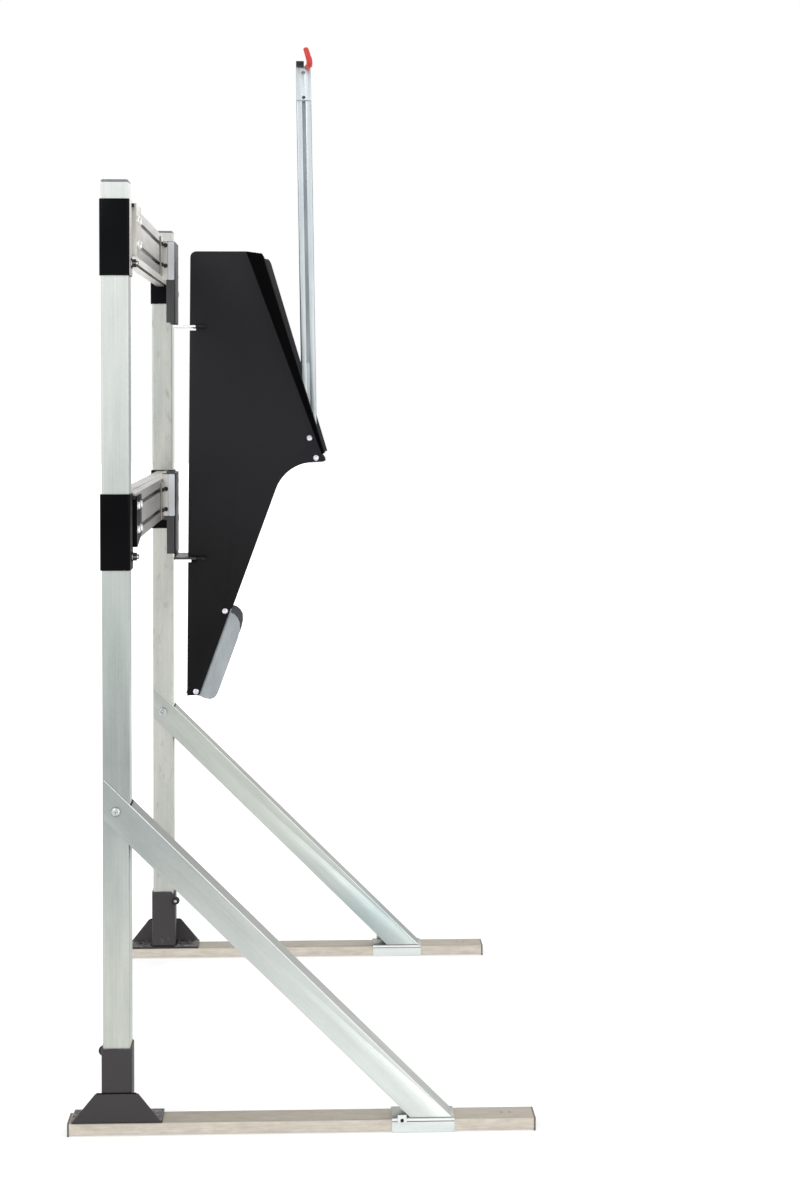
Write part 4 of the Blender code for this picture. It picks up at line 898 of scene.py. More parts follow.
@dataclass
class ButtonBolt(Assembly):
    """A round-headed bolt with its washer, modelled once with its axis along X."""

    washer_radius: float = 0.0072
    washer_height: float = 0.0008
    washer_chamfer: float = 0.0003
    head_radius: float = 0.0058
    head_height: float = 0.0034
    head_round: float = 0.0015
    socket_radius: float = 0.0026
    socket_depth: float = 0.0020
    corners: int = 24
    # An edge this near to the washer's radius is on its rim.
    rim_share: float = 0.95
    finish: Finish = TAB_BOLT_ZINC

    def model(self) -> bpy.types.Object:
        """Models the bolt with the washer's back at the origin.

        Returns:
            the bolt, not yet placed
        """
        top = self.washer_height + self.head_height
        deselect()
        bpy.ops.mesh.primitive_cylinder_add(
            vertices=self.corners, radius=self.washer_radius, depth=self.washer_height,
            location=(self.washer_height / 2, 0.0, 0.0), rotation=(0.0, math.pi / 2, 0.0))
        item = bpy.context.object
        bpy.ops.object.transform_apply(location=True, rotation=True, scale=True)
        with edit_mode(item):
            select(Pick.FACE, lambda middle, way: way.x > FACING)
            bpy.ops.mesh.inset(thickness=self.washer_radius - self.head_radius)
            extrude((self.head_height, 0.0, 0.0))
            select(Pick.EDGE, lambda middle, way: self.on_ring(middle, way, top))
            bpy.ops.mesh.bevel(offset=self.head_round, segments=4, affect="EDGES")
            select(Pick.FACE, lambda middle, way: way.x > FACING and abs(middle.x - top) < TOUCH)
            bpy.ops.mesh.inset(thickness=self.head_radius - self.head_round - self.socket_radius)
            extrude((-self.socket_depth, 0.0, 0.0))
            select(Pick.EDGE, lambda middle, way: self.on_ring(middle, way, self.washer_height)
                   and math.hypot(middle.y, middle.z) > self.washer_radius * self.rim_share)
            bpy.ops.mesh.bevel(offset=self.washer_chamfer, segments=1, affect="EDGES")
        self.dress(item, self.finish, SOCKET_DARK)
        # The socket and the washer's ring beside the head get painted shade.
        self.paint(item, 1, lambda middle, way: middle.x < top - TOUCH and (
            math.hypot(middle.y, middle.z) < self.socket_radius + TOUCH
            or abs(middle.x - self.washer_height) < TOUCH))
        return item

    def on_ring(self, middle: Vector, way: Vector, height: float) -> bool:
        """Tells whether an edge lies in a ring about the axis at a height."""
        return abs(middle.x - height) < TOUCH and abs(way.x) < ACROSS


@dataclass
class PostCollars(Assembly):
    """The collars on the posts with their bolts; the upper ones' tabs and fronts are bare zinc."""

    bolt_reaches: Pair = (0.034, 0.080)
    bolt_rise: float = 0.020
    wall: float = 0.0028
    # A face is on the collar's front by how near it lies and how far it turns that way.
    front_reach: float = 0.0008
    front_share: float = 0.5
    corner_screw_reach: float = 0.0150
    corner_screw_drop: float = 0.0075
    # A nut's flats begin at the start, and its outer corners lie past the end.
    nut_start_x: float = -0.2816
    nut_end_x: float = -0.2725
    nut_cut: float = 0.0033
    collar_ease_mm: float = 0.5
    nut_ease_mm: float = 0.35

    def build(self) -> None:
        """Models the collars and bolts of both posts."""
        bolt = ButtonBolt().model()
        screw = ButtonBolt(washer_radius=0.0040, head_radius=0.0033, head_height=0.0030,
                           head_round=0.0008, socket_radius=0.0015, socket_depth=0.0012,
                           finish=SCREW_BLACK).model()
        for side in Side:
            post_low, post_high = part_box(side.word + "_post")
            middle_y = (post_low[1] + post_high[1]) / 2
            front_x = post_high[0] + self.wall
            for level in Level:
                node = f"{side.word}_{level.value}_collar"
                self.build_collar(level, node, front_x)
                rail_low, rail_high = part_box(level.value + "_rail")
                rail_z = (rail_low[2] + rail_high[2]) / 2
                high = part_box(node)[1]
                self.place_bolts(bolt, node, side, (high[0], middle_y, rail_z))
                place = (front_x, middle_y + side.value * self.corner_screw_reach,
                         high[2] - self.corner_screw_drop)
                item = self.copy_piece(screw, node + "_corner_screw", Matrix.Translation(place))
                self.finish_piece(item, Body.STAND)
                self.build_nut(side, node + "_bolt")
        bpy.data.objects.remove(bolt)
        bpy.data.objects.remove(screw)

    def build_collar(self, level: Level, node: str, front_x: float) -> None:
        """Eases a collar's edges; an upper collar's tab and front are bare zinc.

        Args:
            level: which rail
            node: the CAD collar
            front_x: where the collar's front face lies
        """
        item = self.copy_node(node)
        self.ease(item, self.collar_ease_mm)
        self.dress(item, COLLAR_BLACK, TAB_ZINC)
        if level is Level.UPPER:
            self.paint(item, 1, lambda middle, way: middle.x > front_x + self.front_reach
                       or (middle.x > front_x - self.front_reach and way.x > self.front_share))
        self.finish_piece(item, Body.STAND, [node])

    def build_nut(self, side: Side, node: str) -> None:
        """Eases a clamp bolt with its nut, whose side flats carry a painted highlight.

        Args:
            side: which post; a far nut is cut lower than the solid's, as in the photograph
            node: the CAD bolt
        """
        item = self.copy_node(node)
        if side is Side.FAR:
            with edit_mode(item):
                select(Pick.CORNER, lambda middle, way: middle.x > self.nut_end_x)
                bpy.ops.transform.translate(value=(-self.nut_cut, 0.0, 0.0))
        self.ease(item, self.nut_ease_mm)
        self.dress(item, SCREW_BLACK, BOLT_ZINC)
        # The flats facing along Y get a painted highlight in bright zinc.
        self.paint(item, 1, lambda middle, way: abs(way.y) > FACING and middle.x > self.nut_start_x)
        self.finish_piece(item, Body.STAND, [node])

    def place_bolts(self, bolt: bpy.types.Object, node: str, side: Side, seat: Place) -> None:
        """Copies the bolt to the four places on a tab.

        Args:
            bolt: the modelled bolt
            node: the collar's name
            side: which post
            seat: the face that carries the bolts, the post's middle and the rail's middle
        """
        for index, reach in enumerate(self.bolt_reaches, 1):
            for word, rise in (("low", -self.bolt_rise), ("high", self.bolt_rise)):
                place = (seat[0], seat[1] + side.value * reach, seat[2] + rise)
                item = self.copy_piece(bolt, f"{node}_tab_bolt_{word}_{index}",
                                       Matrix.Translation(place))
                self.finish_piece(item, Body.STAND)


@dataclass
class Hangers(Assembly):
    """The folded hangers with round bends, their packing plates and the dark screws beside them."""

    lift_y: float = 0.150
    outer_bend: float = 0.0045
    inner_bend: float = 0.0016
    sheet: float = 0.003
    # Air that is left where two parts touch.
    gap: float = 0.0003
    wall_half: float = 0.053
    web_x: float = -0.2528
    ease_mm: float = 0.3
    # Where the finishes change: at the web, the tongue, the flanges and the flanges' cut ends.
    web_reach: float = 0.0020
    web_share: float = 0.6
    tongue_start: float = 0.0008
    flange_back: float = 0.01
    flange_end: float = 0.03
    plate_thick: float = 0.0014
    plate_inset: float = 0.0008
    plate_round: float = 0.0015
    plate_ease_mm: float = 0.25
    screw_rise: float = 0.020
    flange_screw_y: float = 0.0935
    packing_screw_x: float = -0.2707

    def build(self) -> None:
        """Models both hangers and their small hardware."""
        screw = ButtonBolt(washer_radius=0.0044, head_radius=0.0037, head_height=0.0030,
                           head_round=0.0009, socket_radius=0.0018, socket_depth=0.0014,
                           finish=SCREW_BLACK).model()
        for level in Level:
            rail_low, rail_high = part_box(level.value + "_rail")
            self.build_hanger(level, level.value + "_hanger")
            self.build_packing(level, rail_high[0])
            self.place_screws(screw, level, rail_high[0], (rail_low[2] + rail_high[2]) / 2)
        bpy.data.objects.remove(screw)

    def build_hanger(self, level: Level, node: str) -> None:
        """Rounds the bends of a hanger; its rail flanges and the upper tongue are bare zinc, and its
        web's outer face gets painted shade.

        Args:
            level: which rail
            node: the CAD hanger
        """
        item = self.copy_node(node)
        self.round_edges(item, self.on_bend(0.0), self.outer_bend, 5)
        self.round_edges(item, self.on_bend(self.sheet), self.inner_bend, 3)
        self.ease(item, self.ease_mm)
        self.dress(item, HANGER_GREY, TAB_ZINC, TONGUE_ZINC, WEB_PAINTED_SHADE, EDGE_ZINC)
        self.paint(item, 1, lambda middle, way: middle.x < self.web_x - self.flange_back
                   and abs(middle.y - self.lift_y) > self.wall_half + CLOSE)
        self.paint(item, 4, lambda middle, way: abs(way.y) > SLANTED
                   and abs(middle.y - self.lift_y) > self.wall_half + self.flange_end)
        # The web's outer face gets painted shade.
        self.paint(item, 3, lambda middle, way: abs(middle.x - self.web_x) < self.web_reach
                   and way.x > self.web_share)
        if level is Level.UPPER:
            self.paint(item, 2, lambda middle, way: middle.x > self.web_x + self.tongue_start)
        self.finish_piece(item, Body.STAND, [node])

    def on_bend(self, inset: float) -> Test:
        """Makes a test for the upright edges of a hanger's two bends.

        Args:
            inset: how far inside the sheet's outer faces the edges lie

        Returns:
            the test
        """
        half = self.wall_half - inset
        return lambda middle, way: (abs(way.z) > ALONG and abs(middle.x - self.web_x + inset) < CLOSE
                                    and abs(abs(middle.y - self.lift_y) - half) < CLOSE)

    def build_packing(self, level: Level, rail_x: float) -> None:
        """Models the thin zinc plate between the clamp plate and the rail.

        Args:
            level: which rail
            rail_x: the rail's front face
        """
        clamp_low, clamp_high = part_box(level.value + "_clamp_plate")
        back_y = self.lift_y - self.wall_half - self.gap
        item = add_block(level.value + "_packing_plate",
                         (rail_x + self.plate_inset, back_y - self.plate_thick, clamp_low[2]),
                         (clamp_low[0] - self.gap, back_y, clamp_high[2]))
        self.round_edges(item, lambda middle, way: abs(way.y) > ALONG, self.plate_round, 3)
        self.ease(item, self.plate_ease_mm)
        self.dress(item, TAB_ZINC)
        self.finish_piece(item, Body.STAND)

    def place_screws(self, screw: bpy.types.Object, level: Level, rail_x: float,
                     rail_z: float) -> None:
        """Copies the dark screw to the flanges and the packing plate.

        Args:
            screw: the modelled screw
            level: which rail
            rail_x: the rail's front face
            rail_z: the rail's middle
        """
        flange_x = rail_x + self.gap + self.sheet
        plate_y = self.lift_y - self.wall_half - self.gap - self.plate_thick
        turn = Matrix.Rotation(-math.pi / 2, 4, "Z")
        for word, rise in (("low", -self.screw_rise), ("high", self.screw_rise)):
            for side in Side:
                place = Matrix.Translation(
                    (flange_x, self.lift_y - side.value * self.flange_screw_y, rail_z + rise))
                item = self.copy_piece(screw, f"{level.value}_flange_screw_{side.word}_{word}", place)
                self.finish_piece(item, Body.STAND)
            place = Matrix.Translation((self.packing_screw_x, plate_y, rail_z + rise)) @ turn
            item = self.copy_piece(screw, f"{level.value}_packing_screw_{word}", place)
            self.finish_piece(item, Body.STAND)


@dataclass
class Housing(Assembly):
    """The sheet housing: side plates and guide cheeks with eased edges, and painted shade on the flared
    edge.
    """

    plate_ease_mm: float = 0.35
    cheek_ease_mm: float = 0.4
    # The flared edge, which gets painted shade, is above this height and faces back and out by at least
    # these shares.
    flare_low_z: float = 1.1
    flare_back: float = 0.35
    flare_out: float = 0.3

    def build(self) -> None:
        """Models the side plates and cheeks."""
        for side in Side:
            node = side.word + "_side_plate"
            item = self.copy_node(node)
            self.ease(item, self.plate_ease_mm)
            self.dress(item, HOUSING_BLACK, FLARE_PAINTED_SHADE)
            # The flared edge's faces get painted shade.
            self.paint(item, 1, lambda middle, way: middle.z > self.flare_low_z
                       and way.x < -self.flare_back and abs(way.y) > self.flare_out)
            self.finish_piece(item, Body.STAND, [node])
            cheek = side.word + "_guide_cheek"
            item = self.copy_node(cheek)
            self.ease(item, self.cheek_ease_mm)
            # The far cheek's finish is painted shade.
            self.dress(item, finish_of(cheek))
            self.finish_piece(item, Body.STAND, [cheek])


@dataclass(frozen=True)
class Bead:
    """A weld bead beside a foot's socket tube.

    It lies out from the tube in X, or in Y with 1 for inward, by the standoff and above its seat by
    the lift.
    """

    word: str
    out: tuple[int, int]
    seat_z: float
    length: float
    standoff: float = 0.0008
    lift: float = 0.0006


@dataclass
class Feet(Assembly):
    """The welded feet: eased edges and the weld beads that join gusset, socket and plate."""

    foot_ease_mm: float = 0.6
    screw_ease_mm: float = 0.4
    socket_half: float = 0.0253
    screw_floor: Pair = (0.0024, 0.0036)
    ripple_radius: float = 0.0019
    ripple_step: float = 0.0016
    ripple_shape: Place = (0.75, 1.0, 0.8)
    ripple_cut: float = 0.45
    beads: tuple[Bead, ...] = (
        Bead("gusset", (0, -1), 0.0723, 0.066, standoff=0.0012, lift=0.0004),
        Bead("inner", (0, 1), 0.0273, 0.046),
        Bead("back", (-1, 0), 0.0273, 0.044),
        Bead("front", (1, 0), 0.0273, 0.044))

    def build(self) -> None:
        """Models both feet and their welds."""
        for side in Side:
            node = side.word + "_foot"
            item = self.copy_node(node)
            self.ease(item, self.foot_ease_mm)
            self.dress(item, FOOT_GREY)
            self.finish_piece(item, Body.STAND, [node])
            self.build_screw(side)
            low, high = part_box(side.word + "_post")
            for bead in self.beads:
                reach = self.socket_half + bead.standoff
                place = ((low[0] + high[0]) / 2 + bead.out[0] * reach,
                         (low[1] + high[1]) / 2 + side.value * bead.out[1] * reach,
                         bead.seat_z + bead.lift)
                self.lay_bead(f"{side.word}_{bead.word}_weld", place, bead.length,
                              math.pi / 2 * abs(bead.out[0]))

    def build_screw(self, side: Side) -> None:
        """Eases the cap screw in a foot's ear and paints a highlight on the floor of its socket.

        Args:
            side: which foot
        """
        node = side.word + "_foot_screw"
        low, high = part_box(node)
        # A head looks inward, away from its socket tube.
        head_y = high[1] if side is Side.NEAR else low[1]
        item = self.copy_node(node)
        self.ease(item, self.screw_ease_mm)
        self.dress(item, SCREW_BLACK, BOLT_ZINC)
        # The socket's floor gets a painted highlight in bright zinc.
        self.paint(item, 1, lambda middle, way: abs(way.y) > FACING
                   and self.screw_floor[0] < abs(head_y - middle.y) < self.screw_floor[1])
        self.finish_piece(item, Body.STAND, [node])

    def lay_bead(self, name: str, middle: Place, length: float, turn: float) -> None:
        """Models a weld bead as overlapping ripples.

        Args:
            name: the piece's name
            middle: the bead's middle
            length: its length
            turn: its direction about Z, from X
        """
        count = round(length / self.ripple_step)
        deselect()
        bpy.ops.mesh.primitive_uv_sphere_add(segments=10, ring_count=6, radius=self.ripple_radius)
        item = bpy.context.object
        item.name = name
        with edit_mode(item):
            bpy.ops.mesh.select_all(action="SELECT")
            bpy.ops.transform.resize(value=self.ripple_shape)
            bpy.ops.mesh.bisect(plane_co=(0.0, 0.0, -self.ripple_cut * self.ripple_radius),
                                plane_no=(0.0, 0.0, 1.0), clear_inner=True, use_fill=True)
        bpy.ops.object.modifier_add(type="ARRAY")
        ripples = item.modifiers[-1]
        ripples.count = count
        ripples.use_relative_offset = False
        ripples.use_constant_offset = True
        ripples.constant_offset_displace = (self.ripple_step, 0.0, 0.0)
        bpy.ops.object.modifier_apply(modifier=ripples.name)
        centre = Matrix.Translation((-(count - 1) * self.ripple_step / 2, 0.0, 0.0))
        item.data.transform(Matrix.Translation(middle) @ Matrix.Rotation(turn, 4, "Z") @ centre)
        # The bead's near-black is painted shade.
        self.dress(item, WELD_PAINTED_SHADE)
        self.finish_piece(item, Body.STAND)


@dataclass
class StandFrame(Assembly):
    """Braces, shoes and the plastic caps, with the round bends and eased edges of the real ones."""

    brace_bend: float = 0.0016
    # A bend's edge runs along the brace by at least this share, and its faces turn within these.
    bend_along: float = 0.999
    bend_turn: Pair = (0.12, 0.97)
    bend_rise: float = 0.1
    # The pieces that only need their edges eased, with the width in mm; a shoe gets its groove too.
    eased: tuple[tuple[str, float], ...] = (
        ("brace_shoe", 0.6), ("post_cap", 1.4), ("beam_cap_back", 0.6), ("beam_cap_front", 0.6))
    groove: Pair = (0.0194, 0.0203)
    groove_depth: float = 0.0008
    # How far in from the shoe's sides a face still belongs to them.
    side_reach: float = 0.001
    socket_inset: float = 0.0026
    socket_depth: float = 0.0014
    bolt_ease_mm: float = 0.4
    cover_width: float = 0.0092
    cover_thick: float = 0.0008
    cover_short: float = 0.004
    cover_ease_mm: float = 0.25

    def build(self) -> None:
        """Models the rail's cover strip and the braces, shoes, caps and bolts of both ends."""
        self.build_cover()
        for side in Side:
            self.build_brace(side.word + "_brace")
            for word, width_mm in self.eased:
                node = f"{side.word}_{word}"
                item = self.copy_node(node)
                self.dress(item, finish_of(node))
                if word == "brace_shoe":
                    self.fold_lip(item, side)
                self.ease(item, width_mm, 3)
                self.finish_piece(item, Body.STAND, [node])
            self.build_bolt(side.word + "_brace_bolt")

    def build_cover(self) -> None:
        """Models the thin strip that covers the slot on top of the lower rail."""
        low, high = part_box("lower_rail")
        middle_x = (low[0] + high[0]) / 2
        item = add_block("lower_rail_cover",
                         (middle_x - self.cover_width / 2, low[1] + self.cover_short / 2, high[2]),
                         (middle_x + self.cover_width / 2, high[1] - self.cover_short / 2,
                          high[2] + self.cover_thick))
        self.ease(item, self.cover_ease_mm)
        self.dress(item, RAIL_ALUMINIUM)
        self.finish_piece(item, Body.STAND)

    def build_brace(self, node: str) -> None:
        """Rounds a brace's two bends and paints a highlight on them; its sheared edges stay sharp.

        Args:
            node: the CAD brace
        """
        item = self.copy_node(node)
        low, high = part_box(node)
        run = Vector(BRACE_RUN)
        # Square to the run, and upward for either way that a brace leans.
        up = Vector((-run.z, 0.0, run.x))
        up *= math.copysign(1.0, up.z)
        web = max(up.dot(corner.co) for corner in item.data.vertices)
        self.round_edges(item, lambda middle, way: abs(way.dot(run)) > self.bend_along
                         and min(middle.y - low[1], high[1] - middle.y) < CLOSE
                         and up.dot(middle) > web - CLOSE, self.brace_bend, 4)
        self.dress(item, finish_of(node), BEND_PAINTED_HIGHLIGHT)
        # The bends get a painted highlight.
        self.paint(item, 1, lambda middle, way: up.dot(way) > self.bend_rise
                   and self.bend_turn[0] < abs(way.y) < self.bend_turn[1])
        self.finish_piece(item, Body.STAND, [node])

    def fold_lip(self, item: bpy.types.Object, side: Side) -> None:
        """Presses a groove into both sides of a shoe, with painted shade in the groove and a painted
        highlight on the lip above it.

        Args:
            item: the shoe
            side: which shoe
        """
        low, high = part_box(side.word + "_brace_shoe")
        beam_low, beam_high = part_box(side.word + "_base_beam")
        middle_y = (beam_low[1] + beam_high[1]) / 2
        half = min(middle_y - low[1], high[1] - middle_y)
        with edit_mode(item):
            for height in self.groove:
                bpy.ops.mesh.select_all(action="SELECT")
                bpy.ops.mesh.bisect(plane_co=(0.0, 0.0, height), plane_no=(0.0, 0.0, 1.0))
            for way_out in (-1, 1):
                select(Pick.FACE, lambda middle, way: way.y * way_out > FACING
                       and self.groove[0] < middle.z < self.groove[1]
                       and abs(middle.y - middle_y - way_out * half) < CLOSE)
                extrude((0.0, -way_out * self.groove_depth, 0.0))
        self.dress(item, SHOE_ZINC, SOCKET_DARK, BEND_PAINTED_HIGHLIGHT)
        # The groove gets painted shade.
        self.paint(item, 1, lambda middle, way: abs(way.y) > FACING
                   and self.groove[0] < middle.z < self.groove[1]
                   and half - self.side_reach < abs(middle.y - middle_y) < half - CLOSE)
        # The lip above the groove gets a painted highlight.
        self.paint(item, 2, lambda middle, way: abs(way.y) > SLANTED and middle.z > self.groove[1]
                   and abs(middle.y - middle_y) > half - self.side_reach)

    def build_bolt(self, node: str) -> None:
        """Models a brace bolt with a socket in each end.

        Args:
            node: the CAD bolt
        """
        low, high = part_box(node)
        item = self.copy_node(node)
        for way_out, end in ((-1, low[1]), (1, high[1])):
            with edit_mode(item):
                select(Pick.FACE, lambda middle, way: way.y * way_out > FACING
                       and abs(middle.y - end) < CLOSE)
                bpy.ops.mesh.inset(thickness=self.socket_inset)
                extrude((0.0, -way_out * self.socket_depth, 0.0))
        self.ease(item, self.bolt_ease_mm)
        self.dress(item, BOLT_ZINC, SOCKET_PALE_SHADE)
        # The sockets' floors get paler painted shade.
        self.paint(item, 1, lambda middle, way: abs(way.y) > FACING and CLOSE < min(
            middle.y - low[1], high[1] - middle.y) < self.socket_depth + CLOSE)
        self.finish_piece(item, Body.STAND, [node])


@dataclass
class Arm(Assembly):
    """The swinging arm: a channel with round bends, its bracket, the seat pad and the coated hook."""

    axle: Pair = (0.0115, 1.142)
    lean: float = math.radians(0.93)
    # How near to the leaning channel's lines its corners and edges lie.
    lean_close: float = 0.0002
    half_width: float = 0.015
    bend: float = 0.0026
    mouth_half: float = 0.002
    mouth_wider: float = 0.0016
    wall: float = 0.002
    channel_ease_mm: float = 0.3
    edge_slant: float = 0.35
    bracket_front: float = 0.1737
    bracket_merge: float = 0.00002
    bracket_ease_mm: float = 0.6
    seat_low: Place = (-0.0148, 0.1535, 1.8838)
    seat_high: Place = (0.0008, 0.1734, 1.8930)
    seat_over: float = 0.0033
    seat_step: float = 0.0028
    seat_ease_mm: float = 0.7
    hook_share: float = 0.86
    hook_ease_mm: float = 2.2
    hook_angle: float = 60.0

    def build(self) -> None:
        """Models the channel, the bracket, the seat and the hook."""
        self.build_channel()
        self.build_bracket()
        self.build_seat()
        self.build_hook()

    def across(self, place: Vector) -> float:
        """Returns how far a place lies in X from the leaning channel's middle line."""
        return place.x - self.axle[0] + (place.z - self.axle[1]) * math.tan(self.lean)

    def build_channel(self) -> None:
        """Rounds the channel's back corners and draws its lips apart; its sides get painted shade."""
        low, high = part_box("arm_channel")
        item = self.copy_node("arm_channel")
        # The real mouth is wider than the solid's.
        with edit_mode(item):
            for way_out in (-1, 1):
                select(Pick.CORNER, lambda middle, way: middle.y < low[1] + self.wall + CLOSE
                       and abs(self.across(middle) - way_out * self.mouth_half) < self.lean_close)
                bpy.ops.transform.translate(value=(way_out * self.mouth_wider, 0.0, 0.0))
        self.round_edges(item, lambda middle, way: abs(way.z) > ALONG
                         and abs(abs(self.across(middle)) - self.half_width) < self.lean_close
                         and min(middle.y - low[1], high[1] - middle.y) < CLOSE, self.bend, 4)
        self.ease(item, self.channel_ease_mm)
        self.dress(item, ARM_ZINC, ARM_SIDE_SHADE)
        # The channel's sides get painted shade.
        self.paint(item, 1, lambda middle, way: abs(way.x) > self.edge_slant
                   and abs(self.across(middle)) > self.half_width - self.bend)
        self.finish_piece(item, Body.ARM, ["arm_channel"])

    def build_bracket(self) -> None:
        """Models the bracket plate without the solid's shelf, whose place the pad takes."""
        item = self.copy_node("hook_bracket")
        with edit_mode(item):
            bpy.ops.mesh.select_all(action="SELECT")
            bpy.ops.mesh.bisect(plane_co=(0.0, self.bracket_front, 0.0), plane_no=(0.0, -1.0, 0.0),
                                clear_outer=True, use_fill=False)
            bpy.ops.mesh.select_all(action="SELECT")
            bpy.ops.mesh.remove_doubles(threshold=self.bracket_merge)
            bpy.ops.mesh.select_mode(type=Pick.EDGE.value)
            bpy.ops.mesh.select_all(action="DESELECT")
            bpy.ops.mesh.select_non_manifold(extend=False, use_wire=False, use_multi_face=False,
                                             use_non_contiguous=False, use_verts=False)
            bpy.ops.mesh.edge_face_add()
        self.ease(item, self.bracket_ease_mm)
        self.dress(item, ARM_ZINC, ARM_SIDE_SHADE)
        # The bracket's sides get painted shade.
        self.paint(item, 1, lambda middle, way: abs(way.x) > self.edge_slant)
        self.finish_piece(item, Body.ARM, ["hook_bracket"])

    def build_seat(self) -> None:
        """Models the rubber seat pad, which hangs over the bracket's top edge."""
        step_z = self.seat_low[2] + self.seat_step
        item = add_block("rim_seat", self.seat_low, self.seat_high)
        with edit_mode(item):
            bpy.ops.mesh.select_all(action="SELECT")
            bpy.ops.mesh.bisect(plane_co=(0.0, 0.0, step_z), plane_no=(0.0, 0.0, 1.0))
            select(Pick.FACE, lambda middle, way: way.y > FACING and middle.z > step_z)
            extrude((0.0, self.seat_over, 0.0))
        self.ease(item, self.seat_ease_mm, 3)
        # The pad is black rubber, and its black also stands in for painted shade.
        self.dress(item, SEAT_RUBBER_AND_SHADE)
        self.finish_piece(item, Body.ARM)

    def build_hook(self) -> None:
        """Models the dipped hook, which is shorter than the solid between its foot and its tip."""
        item = self.copy_node("rim_hook", "coated")
        with edit_mode(item):
            bpy.ops.mesh.select_all(action="SELECT")
            bpy.ops.transform.resize(value=(1.0, 1.0, self.hook_share),
                                     center_override=(0.0, 0.0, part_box("rim_hook")[1][2]))
        self.ease(item, self.hook_ease_mm, 4, angle=self.hook_angle)
        self.dress(item, HOOK_RED)
        self.finish_piece(item, Body.ARM, ["rim_hook"], angle=self.hook_angle)


@dataclass
class PullStrut(Assembly):
    """The band of the pull strut, which winds onto the sector as the arm comes down."""

    middle_y: float = 0.150
    run: Place = (0.31468709, 0.0, 0.94919547)
    length: float = 0.1376
    travel: float = 0.108
    width: float = 0.012
    thick: float = 0.0015
    corner_round: float = 0.0004

    def build(self) -> None:
        """Models the band from its end in the yoke to the sector."""
        run = Vector(self.run)
        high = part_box("pull_band")[1]
        top = Vector((high[0] - run.z * self.thick / 2, self.middle_y,
                      high[2] - abs(run.x) * self.thick / 2))
        item = add_block("pull_band_wound", (-self.thick / 2, -self.width / 2, -self.length),
                         (self.thick / 2, self.width / 2, 0.0))
        self.round_edges(item, lambda middle, way: abs(way.z) > ALONG, self.corner_round, 2)
        with edit_mode(item):
            bpy.ops.mesh.select_all(action="SELECT")
            bpy.ops.mesh.subdivide(number_cuts=2)
        turn = Vector((0.0, 0.0, 1.0)).rotation_difference(run).to_matrix().to_4x4()
        item.data.transform(Matrix.Translation(top) @ turn)
        self.dress(item, BOLT_ZINC)
        self.finish_piece(item, Body.STAND, ["pull_band"])
        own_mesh(item)


# Studio

@dataclass(frozen=True)
class Lamp:
    """A square soft lamp, with its side in metres and its power in watts."""

    name: str
    place: Place
    size: float
    power: float


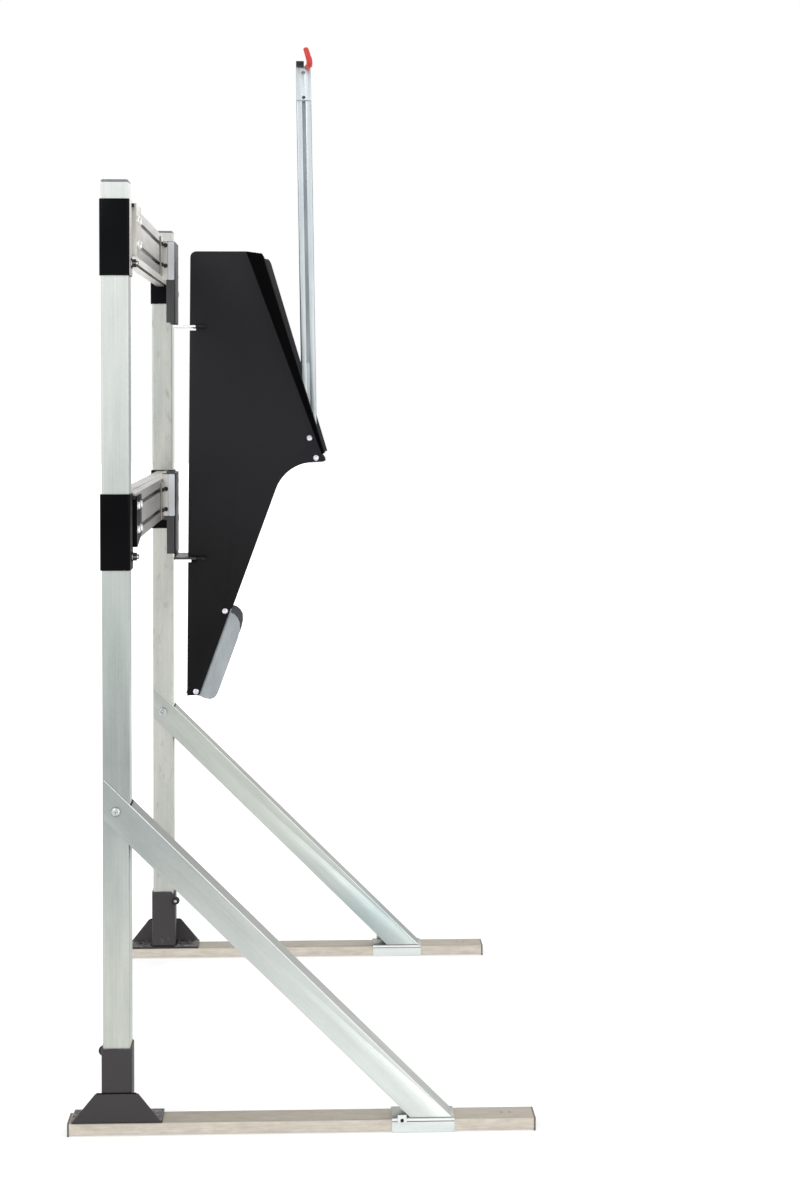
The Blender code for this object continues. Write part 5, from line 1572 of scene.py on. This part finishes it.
@dataclass
class Studio:
    """A pale floor, soft light and a camera at the photograph's angle."""

    camera_place: Place = (0.0179, -3.6865, 1.2300)
    yaw: float = 0.0372
    pitch: float = 0.0196
    focal_px: float = 1916.37
    principal_px: Pair = (384.0, 430.95)
    image_px: tuple[int, int] = (800, 1200)
    sensor_mm: float = 36.0
    sight: float = 200.0
    floor_half: float = 30.0
    floor_colour: str = "#e8e8e8"
    floor_rough: float = 0.9
    # The floor's glow to the eye, and the distances from the object between which it rises.
    glow: Pair = (0.42, 1.0)
    glow_reach: Pair = (0.6, 3.0)
    room_light: float = 0.55
    lamps_look_at: Place = (0.0, 0.0, 0.95)
    lamps: tuple[Lamp, ...] = (
        Lamp("key", (-3.2, -3.6, 4.2), 2.6, 95.0), Lamp("fill", (3.6, -3.2, 2.6), 3.0, 60.0),
        Lamp("back", (1.0, 4.2, 3.6), 3.0, 60.0))

    def build(self) -> None:
        """Makes the camera, the floor, the world and the lamps."""
        self.add_camera()
        self.add_floor()
        self.add_world()
        for lamp in self.lamps:
            self.add_lamp(lamp)
        bpy.context.scene.view_settings.view_transform = "Standard"

    def add_camera(self) -> None:
        """Makes the camera from the fitted focal length and principal point."""
        across, down = self.image_px
        longest = max(self.image_px)
        data = bpy.data.cameras.new("camera")
        data.sensor_width = self.sensor_mm
        data.lens = self.focal_px / longest * self.sensor_mm
        data.shift_x = (across / 2 - self.principal_px[0]) / longest
        data.shift_y = (self.principal_px[1] - down / 2) / longest
        data.clip_end = self.sight
        camera = bpy.data.objects.new("camera", data)
        camera.location = self.camera_place
        camera.rotation_euler = (math.pi / 2 - self.pitch, 0.0, -self.yaw)
        bpy.context.scene.collection.objects.link(camera)
        bpy.context.scene.camera = camera

    def add_floor(self) -> None:
        """Makes the floor, white to the eye except where the object shades it."""
        deselect()
        bpy.ops.mesh.primitive_plane_add(size=2 * self.floor_half)
        floor = bpy.context.object
        floor.name = "floor"
        floor.data.materials.append(self.floor_material())

    def floor_material(self) -> bpy.types.Material:
        """Makes matt white paint that glows more to the eye where the lamps no longer reach.

        Returns:
            the material
        """
        made = bpy.data.materials.new("matt_white_floor")
        made.use_nodes = True
        tree = made.node_tree
        shader = tree.nodes["Principled BSDF"]
        shader.inputs[SOCKETS["colour"]].default_value = linear(self.floor_colour)
        shader.inputs[SOCKETS["rough"]].default_value = self.floor_rough
        where = add_node(tree, "ShaderNodeTexCoord").outputs["Object"]
        far = add_node(tree, "ShaderNodeVectorMath", {"operation": "LENGTH"}, {0: where})
        strength = add_node(tree, "ShaderNodeMapRange", inputs={
            "Value": far.outputs["Value"], "From Min": self.glow_reach[0],
            "From Max": self.glow_reach[1], "To Min": self.glow[0], "To Max": self.glow[1]})
        glow = add_node(tree, "ShaderNodeEmission", inputs={
            "Color": grey(1.0), "Strength": strength.outputs["Result"]})
        both = add_node(tree, "ShaderNodeAddShader", inputs={0: shader.outputs[0], 1: glow.outputs[0]})
        mixed = add_node(tree, "ShaderNodeMixShader", inputs={
            0: self.seen_rays(tree), 1: shader.outputs[0], 2: both.outputs[0]})
        tree.links.new(mixed.outputs[0], tree.nodes["Material Output"].inputs["Surface"])
        return made

    def seen_rays(self, tree: bpy.types.NodeTree) -> bpy.types.NodeSocket:
        """Tells apart the rays that show the background: to the eye, in gloss and through glass.

        Args:
            tree: the material's or world's node tree

        Returns:
            the socket of a number that is 1 for those rays and 0 for the others
        """
        path = add_node(tree, "ShaderNodeLightPath")
        first = add_node(tree, "ShaderNodeMath", {"operation": "MAXIMUM"}, {
            0: path.outputs["Is Camera Ray"], 1: path.outputs["Is Glossy Ray"]})
        return add_node(tree, "ShaderNodeMath", {"operation": "MAXIMUM"}, {
            0: first.outputs["Value"], 1: path.outputs["Is Transmission Ray"]}).outputs["Value"]

    def add_world(self) -> None:
        """Makes a world that is white to look at and softer as a light."""
        world = bpy.data.worlds.new("soft_white_room")
        bpy.context.scene.world = world
        world.use_nodes = True
        tree = world.node_tree
        strength = add_node(tree, "ShaderNodeMix", {"data_type": "FLOAT"}, {
            "Factor": self.seen_rays(tree), "A": self.room_light, "B": 1.0})
        background = tree.nodes["Background"]
        background.inputs["Color"].default_value = grey(1.0)
        tree.links.new(strength.outputs["Result"], background.inputs["Strength"])

    def add_lamp(self, lamp: Lamp) -> None:
        """Hangs a lamp that looks at the object's middle.

        Args:
            lamp: its name, place, size and power
        """
        data = bpy.data.lights.new(lamp.name, "AREA")
        data.size = lamp.size
        data.energy = lamp.power
        item = bpy.data.objects.new(lamp.name, data)
        item.location = lamp.place
        toward = Vector(self.lamps_look_at) - Vector(lamp.place)
        item.rotation_euler = toward.to_track_quat("-Z", "Y").to_euler()
        bpy.context.scene.collection.objects.link(item)


def main() -> None:
    """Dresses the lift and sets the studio."""
    logging.basicConfig(level=logging.INFO, format="%(name)s %(message)s")
    dress_nodes()
    for assembly in (StandFrame(), Feet(), PostCollars(), Hangers(), Housing(), Arm(), PullStrut()):
        assembly.build()
    Studio().build()


if __name__ == "__main__":
    main()
